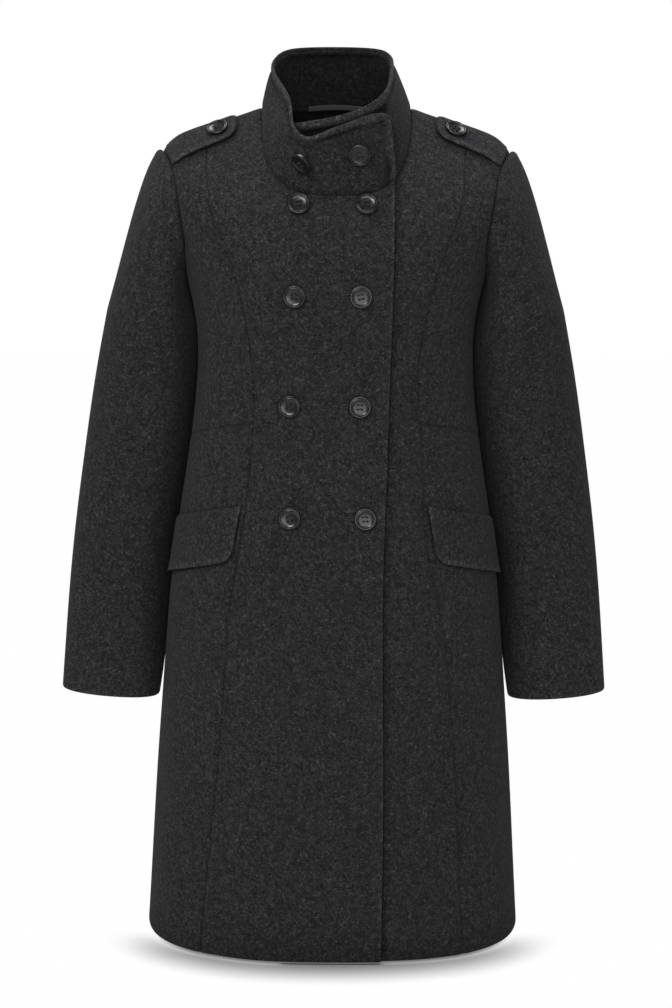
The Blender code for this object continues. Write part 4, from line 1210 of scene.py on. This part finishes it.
def tape_material():
    material, n, shader = new_material("dark_woven_tape", Roughness=0.6, Sheen_Weight=0.2)
    weave = n.add("ShaderNodeTexWave", bands_direction="DIAGONAL", Scale=420.0, Distortion=0.6)
    n.join(n.object_place(), weave.inputs["Vector"])
    colour = n.mixed(weave.outputs["Fac"], TAPE_DARK, TAPE_PALE)
    n.join(colour, shader.inputs["Base Color"])
    n.relief(weave.outputs["Fac"], 0.4, 0.0003, shader)
    return material


def button_material():
    material, n, shader = new_material("polished_dark_button", Coat_Weight=0.40, Coat_Roughness=0.12)
    cloud = n.noise(n.object_place(), 140.0, 3.0, 0.55, 0.8)
    colour = n.mixed(n.ramp(cloud, 0.4, 0.7), BUTTON_DARK, BUTTON_PALE)
    n.join(colour, shader.inputs["Base Color"])
    smears = n.noise(n.object_place(), 420.0, 2.0, 0.6)
    rough = n.add("ShaderNodeMapRange", To_Min=0.20, To_Max=0.32)
    n.join(smears, rough.inputs["Value"])
    n.join(rough.outputs["Result"], shader.inputs["Roughness"])
    n.relief(cloud, 0.12, 0.0002, shader)
    return material


def thread_material():
    material, n, shader = new_material("dark_sewing_thread", Roughness=0.55, Sheen_Weight=0.3)
    twist = n.noise(n.object_place(), 1500.0, 2.0)
    n.join(n.mixed(twist, THREAD_DARK, THREAD_PALE), shader.inputs["Base Color"])
    return material


FLOOR_SHADOW_REACH = 0.060
FLOOR_SHADOW_DEPTH = 2.7
FLOOR_SHADOW_FADES = (-0.135, -0.045)  # from before the hem to behind it, along Y
FLOOR_GLOW = (0.995, 0.995, 0.995, 1)
FLOOR_GREY = (0.55, 0.55, 0.55, 1)


def floor_material():
    """A white floor with a soft painted shadow round the hem, fading out behind it; only the camera sees it
    glow.
    """
    material, n, shader = new_material("pale_floor", Roughness=1.0, Specular_IOR_Level=0.0)
    nearby = n.add("ShaderNodeAmbientOcclusion", samples=32, Distance=FLOOR_SHADOW_REACH)
    behind = n.ramp(n.split(n.object_place()).outputs["Y"], *FLOOR_SHADOW_FADES)
    depth = n.math("MULTIPLY", n.math("SUBTRACT", 1.0, behind), FLOOR_SHADOW_DEPTH)
    glow = n.mixed(n.math("POWER", nearby.outputs["AO"], depth), BLACK, FLOOR_GLOW)
    seen = n.add("ShaderNodeLightPath").outputs["Is Camera Ray"]
    n.join(glow, shader.inputs["Emission Color"])
    n.join(seen, shader.inputs["Emission Strength"])
    n.join(n.mixed(seen, FLOOR_GREY, BLACK), shader.inputs["Base Color"])
    return material


MATERIALS = {
    "wool": wool_material(wool_fibre_group()),
    "tape": tape_material(),
    "button": button_material(),
    "thread": thread_material(),
    "floor": floor_material(),
}


# ---------------------------------------------------------------- buttons
HOLE_AT = 0.0023  # each hole's middle, across and up from the button's
HOLE_RADIUS = 0.00125
DISC_RADIUS = BUTTON_RADIUS * 0.985
DISC_THICKNESS = BUTTON_THICKNESS * 0.72
RIM_STEPS = (
    # how far in from the last ring, and how far up or down
    (0.0006, 0.00055),
    (0.0012, 0.00000),
    (0.0006, -0.00105),
    (0.0005, 0.00035),
    (0.0009, -0.00050),
    (0.0020, -0.00035),
)
THREAD_RADIUS = 0.00034
THREAD_Z = 0.00215
SHANK_RADIUS = 0.0021
SHANK_LENGTH = 0.003


def in_edit(piece):
    choose(piece)
    bpy.ops.object.mode_set(mode="EDIT")
    bpy.ops.mesh.select_all(action="DESELECT")
    return bmesh.from_edit_mesh(piece.data)


def model_button():
    """One button, its back on z = 0: a turned disc with a raised double rim, a dished face and four holes."""
    deselect()
    bpy.ops.mesh.primitive_cylinder_add(vertices=64, radius=DISC_RADIUS, depth=DISC_THICKNESS)
    disc = bpy.context.object
    mesh = in_edit(disc)
    bpy.ops.mesh.select_mode(type="FACE")
    for face in mesh.faces:
        face.select_set(face.normal.z > 0.9)
    bmesh.update_edit_mesh(disc.data)
    for inward, rise in RIM_STEPS:
        bpy.ops.mesh.inset(thickness=inward)
        bpy.ops.transform.translate(value=(0, 0, rise))
    bpy.ops.object.mode_set(mode="OBJECT")
    bevel = disc.modifiers.new("soft_rim", "BEVEL")
    bevel.width = 0.00022
    bevel.segments = 2
    bevel.limit_method = "ANGLE"
    bevel.angle_limit = math.radians(25)
    apply_modifiers(disc)
    for x in (-HOLE_AT, HOLE_AT):
        for y in (-HOLE_AT, HOLE_AT):
            deselect()
            place = (x, y, 0)
            bpy.ops.mesh.primitive_cylinder_add(vertices=20, radius=HOLE_RADIUS, depth=0.02, location=place)
            drill = bpy.context.object
            hole = disc.modifiers.new("hole", "BOOLEAN")
            hole.operation = "DIFFERENCE"
            hole.object = drill
            apply_modifiers(disc)
            bpy.data.objects.remove(drill)
    disc.data.transform(Matrix.Translation((0, 0, DISC_THICKNESS / 2)))
    choose(disc)
    bpy.ops.object.shade_smooth_by_angle(angle=math.radians(32))
    finish_with(disc, MATERIALS["button"])
    return disc


def model_thread():
    """The sewing of one button: two bars of thread across its holes and a short wound shank."""
    bars = []
    for y in (-HOLE_AT, HOLE_AT):
        for beside in (0.0, 0.000315):
            deselect()
            bpy.ops.mesh.primitive_torus_add(
                major_segments=24,
                minor_segments=8,
                major_radius=HOLE_AT,
                minor_radius=THREAD_RADIUS,
                location=(0, y + beside, THREAD_Z),
                rotation=(math.pi / 2, 0, 0),
            )
            bars.append(bpy.context.object)
    deselect()
    bpy.ops.mesh.primitive_cylinder_add(
        vertices=16, radius=SHANK_RADIUS, depth=SHANK_LENGTH, location=(0, 0, -0.001)
    )
    bars.append(bpy.context.object)
    for bar in bars:
        bar.select_set(True)
    bpy.context.view_layer.objects.active = bars[0]
    bpy.ops.object.transform_apply(location=True, rotation=True, scale=True)
    bpy.ops.object.join()
    thread = bpy.context.object
    thread.data.shade_smooth()
    finish_with(thread, MATERIALS["thread"])
    return thread


BUTTONHOLE_LENGTH = 0.018
BUTTONHOLE_HALF_WIDTH = 0.0015
BUTTONHOLE_STITCH = 0.0007
BUTTONHOLE_BESIDE = 0.0095
BUTTON_TURNS = {"right": (8, -6, 3, 14), "left": (-5, 12, -3, 4)}  # degrees each is turned round its thread


def place_copy(model, name, place, axis, turn):
    """A copy of the model with its own mesh, stood at the place with its face along the axis."""
    copy = model.copy()
    copy.data = model.data.copy()
    copy.name = copy.data.name = name
    bpy.context.collection.objects.link(copy)
    stand = Vector(axis).to_track_quat("Z", "Y").to_matrix().to_4x4()
    turned = Matrix.Rotation(math.radians(turn), 4, "Z")
    copy.data.transform(Matrix.Translation(Vector(place)) @ stand @ turned)
    return copy


def sewn_button(models, node, place, axis, turn):
    button = place_copy(models[0], node + "_turned", place, axis, turn)
    dressed(button, node)
    thread = place_copy(models[1], node + "_thread", place, axis, turn)
    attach(thread, "root")


def make_buttonhole(number, row):
    """The worked end of a buttonhole: a narrow loop of stitching that shows beside its button."""
    deselect()
    bpy.ops.mesh.primitive_torus_add(
        major_segments=32,
        minor_segments=8,
        major_radius=BUTTONHOLE_HALF_WIDTH,
        minor_radius=BUTTONHOLE_STITCH,
    )
    hole = bpy.context.object
    for vertex in hole.data.vertices:
        vertex.co.x += math.copysign(BUTTONHOLE_LENGTH / 2, vertex.co.x)
    spot = np.array(front_spot(row.left_x - BUTTONHOLE_BESIDE, row.z + 0.0008))
    name = f"buttonhole_{number}_stitching"
    worked = place_copy(hole, name, body_off(*spot, lap(spot) + 0.0001), body_normal(*spot), 0)
    finish_with(worked, MATERIALS["thread"])
    worked.data.shade_smooth()
    bpy.data.objects.remove(hole)
    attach(worked, "root")


def make_buttons():
    models = (model_button(), model_thread())
    for number, row in enumerate(BUTTON_ROWS, 1):
        make_buttonhole(number, row)
    for number, row in enumerate(BUTTON_ROWS, 1):
        for column, x in (("right", row.right_x), ("left", row.left_x)):
            spot = np.array(front_spot(x, row.z))
            place = body_off(*spot, lap(spot) + BUTTON_SHANK)
            turn = BUTTON_TURNS[column][number - 1]
            sewn_button(models, f"button_{column}_{number}", place, body_normal(*spot), turn)
    shares = np.linspace(0, 1, 401)
    points, normals, _ = collar_surface(shares, np.broadcast_to(np.linspace(0, 1, 41), (401, 41)))
    for column, spot in COLLAR_BUTTONS.items():
        i, j = round(spot.along * 400), round(spot.up * 40)
        axis = unit(normals[i, 0] + np.array(spot.lean))
        place = points[i, j] + normals[i, 0] * spot.shank
        sewn_button(models, "button_collar_" + column, place, axis, 20)
    for side in SIDES.values():
        spot = strap_places(side, np.array(STRAP_LENGTH - STRAP_BUTTON_FROM_END), np.array(0.0))
        place = body_off(*spot, LAID_GAP + CLOTH + BUTTON_SHANK)
        sewn_button(models, "button_strap_" + side.name, place, body_normal(*spot), 35)
    for model in models:
        bpy.data.objects.remove(model)


# ---------------------------------------------------------------- studio
ROOM_LIGHT = 0.14  # how bright the white room is to everything but the camera
FLOOR_SIZE = 14.0
FLOOR_Z = -0.9508
CAMERA_PLACE = (0.0016, -2.4, -0.05)
CAMERA_DOWN = math.radians(9.52)
CAMERA_ROLL = math.radians(0.31)
CAMERA_LENS = 75.4  # mm, on a frame 36 mm high
Softbox = namedtuple("Softbox", "name place aim width height watts")
SOFTBOXES = (
    # name, place, aimed at, width, height, watts
    Softbox("key", (-1.3, -3.0, 1.9), (0, -0.1, -0.40), 1.7, 1.5, 56),
    Softbox("fill", (0.5, -3.2, 0.3), (0, 0, -0.5), 2.6, 2.0, 34),
    Softbox("top", (0.0, 0.5, 2.3), (0, 0, -0.2), 1.5, 1.3, 30),
)


def make_studio():
    deselect()
    bpy.ops.mesh.primitive_plane_add(size=FLOOR_SIZE, location=(0, 0, FLOOR_Z))
    floor = bpy.context.object
    floor.name = "studio_floor"
    floor.data.transform(floor.matrix_world)
    floor.matrix_world = Matrix.Identity(4)
    floor.data.materials.append(MATERIALS["floor"])
    world = bpy.data.worlds.new("studio_white")
    world.use_nodes = True
    room = Nodes(world.node_tree)
    backdrop = world.node_tree.nodes["Background"]
    backdrop.inputs["Color"].default_value = (1, 1, 1, 1)
    seen = room.add("ShaderNodeLightPath").outputs["Is Camera Ray"]
    strength = room.add("ShaderNodeMapRange", To_Min=ROOM_LIGHT)
    room.join(seen, strength.inputs["Value"])
    room.join(strength.outputs["Result"], backdrop.inputs["Strength"])
    bpy.context.scene.world = world
    for box in SOFTBOXES:
        lamp = bpy.data.lights.new(box.name, "AREA")
        lamp.shape = "RECTANGLE"
        lamp.size, lamp.size_y = box.width, box.height
        lamp.energy = box.watts
        stand = bpy.data.objects.new(box.name, lamp)
        bpy.context.collection.objects.link(stand)
        stand.location = box.place
        stand.rotation_euler = (Vector(box.aim) - Vector(box.place)).to_track_quat("-Z", "Y").to_euler()
    bpy.context.scene.view_settings.view_transform = "Standard"


def make_camera():
    """The photograph's view: from the front, a little above the coat's middle, looking slightly down."""
    lens = bpy.data.cameras.new("camera")
    lens.sensor_fit = "AUTO"
    lens.sensor_width = 36
    lens.lens = CAMERA_LENS
    lens.clip_start, lens.clip_end = 0.05, 60
    camera = bpy.data.objects.new("camera", lens)
    bpy.context.collection.objects.link(camera)
    camera.location = CAMERA_PLACE
    pitch = Matrix.Rotation(math.pi / 2 - CAMERA_DOWN, 4, "X")
    roll = Matrix.Rotation(CAMERA_ROLL, 4, "Z")
    camera.rotation_euler = (pitch @ roll).to_euler()
    bpy.context.scene.camera = camera


make_fronts()
for coat_side in SIDES.values():
    make_side_fronts(coat_side)
    make_back(coat_side)
    make_sleeve(coat_side)
    make_flap(coat_side)
    make_strap(coat_side)
make_collar()
make_loop()
make_buttons()
make_studio()
make_camera()
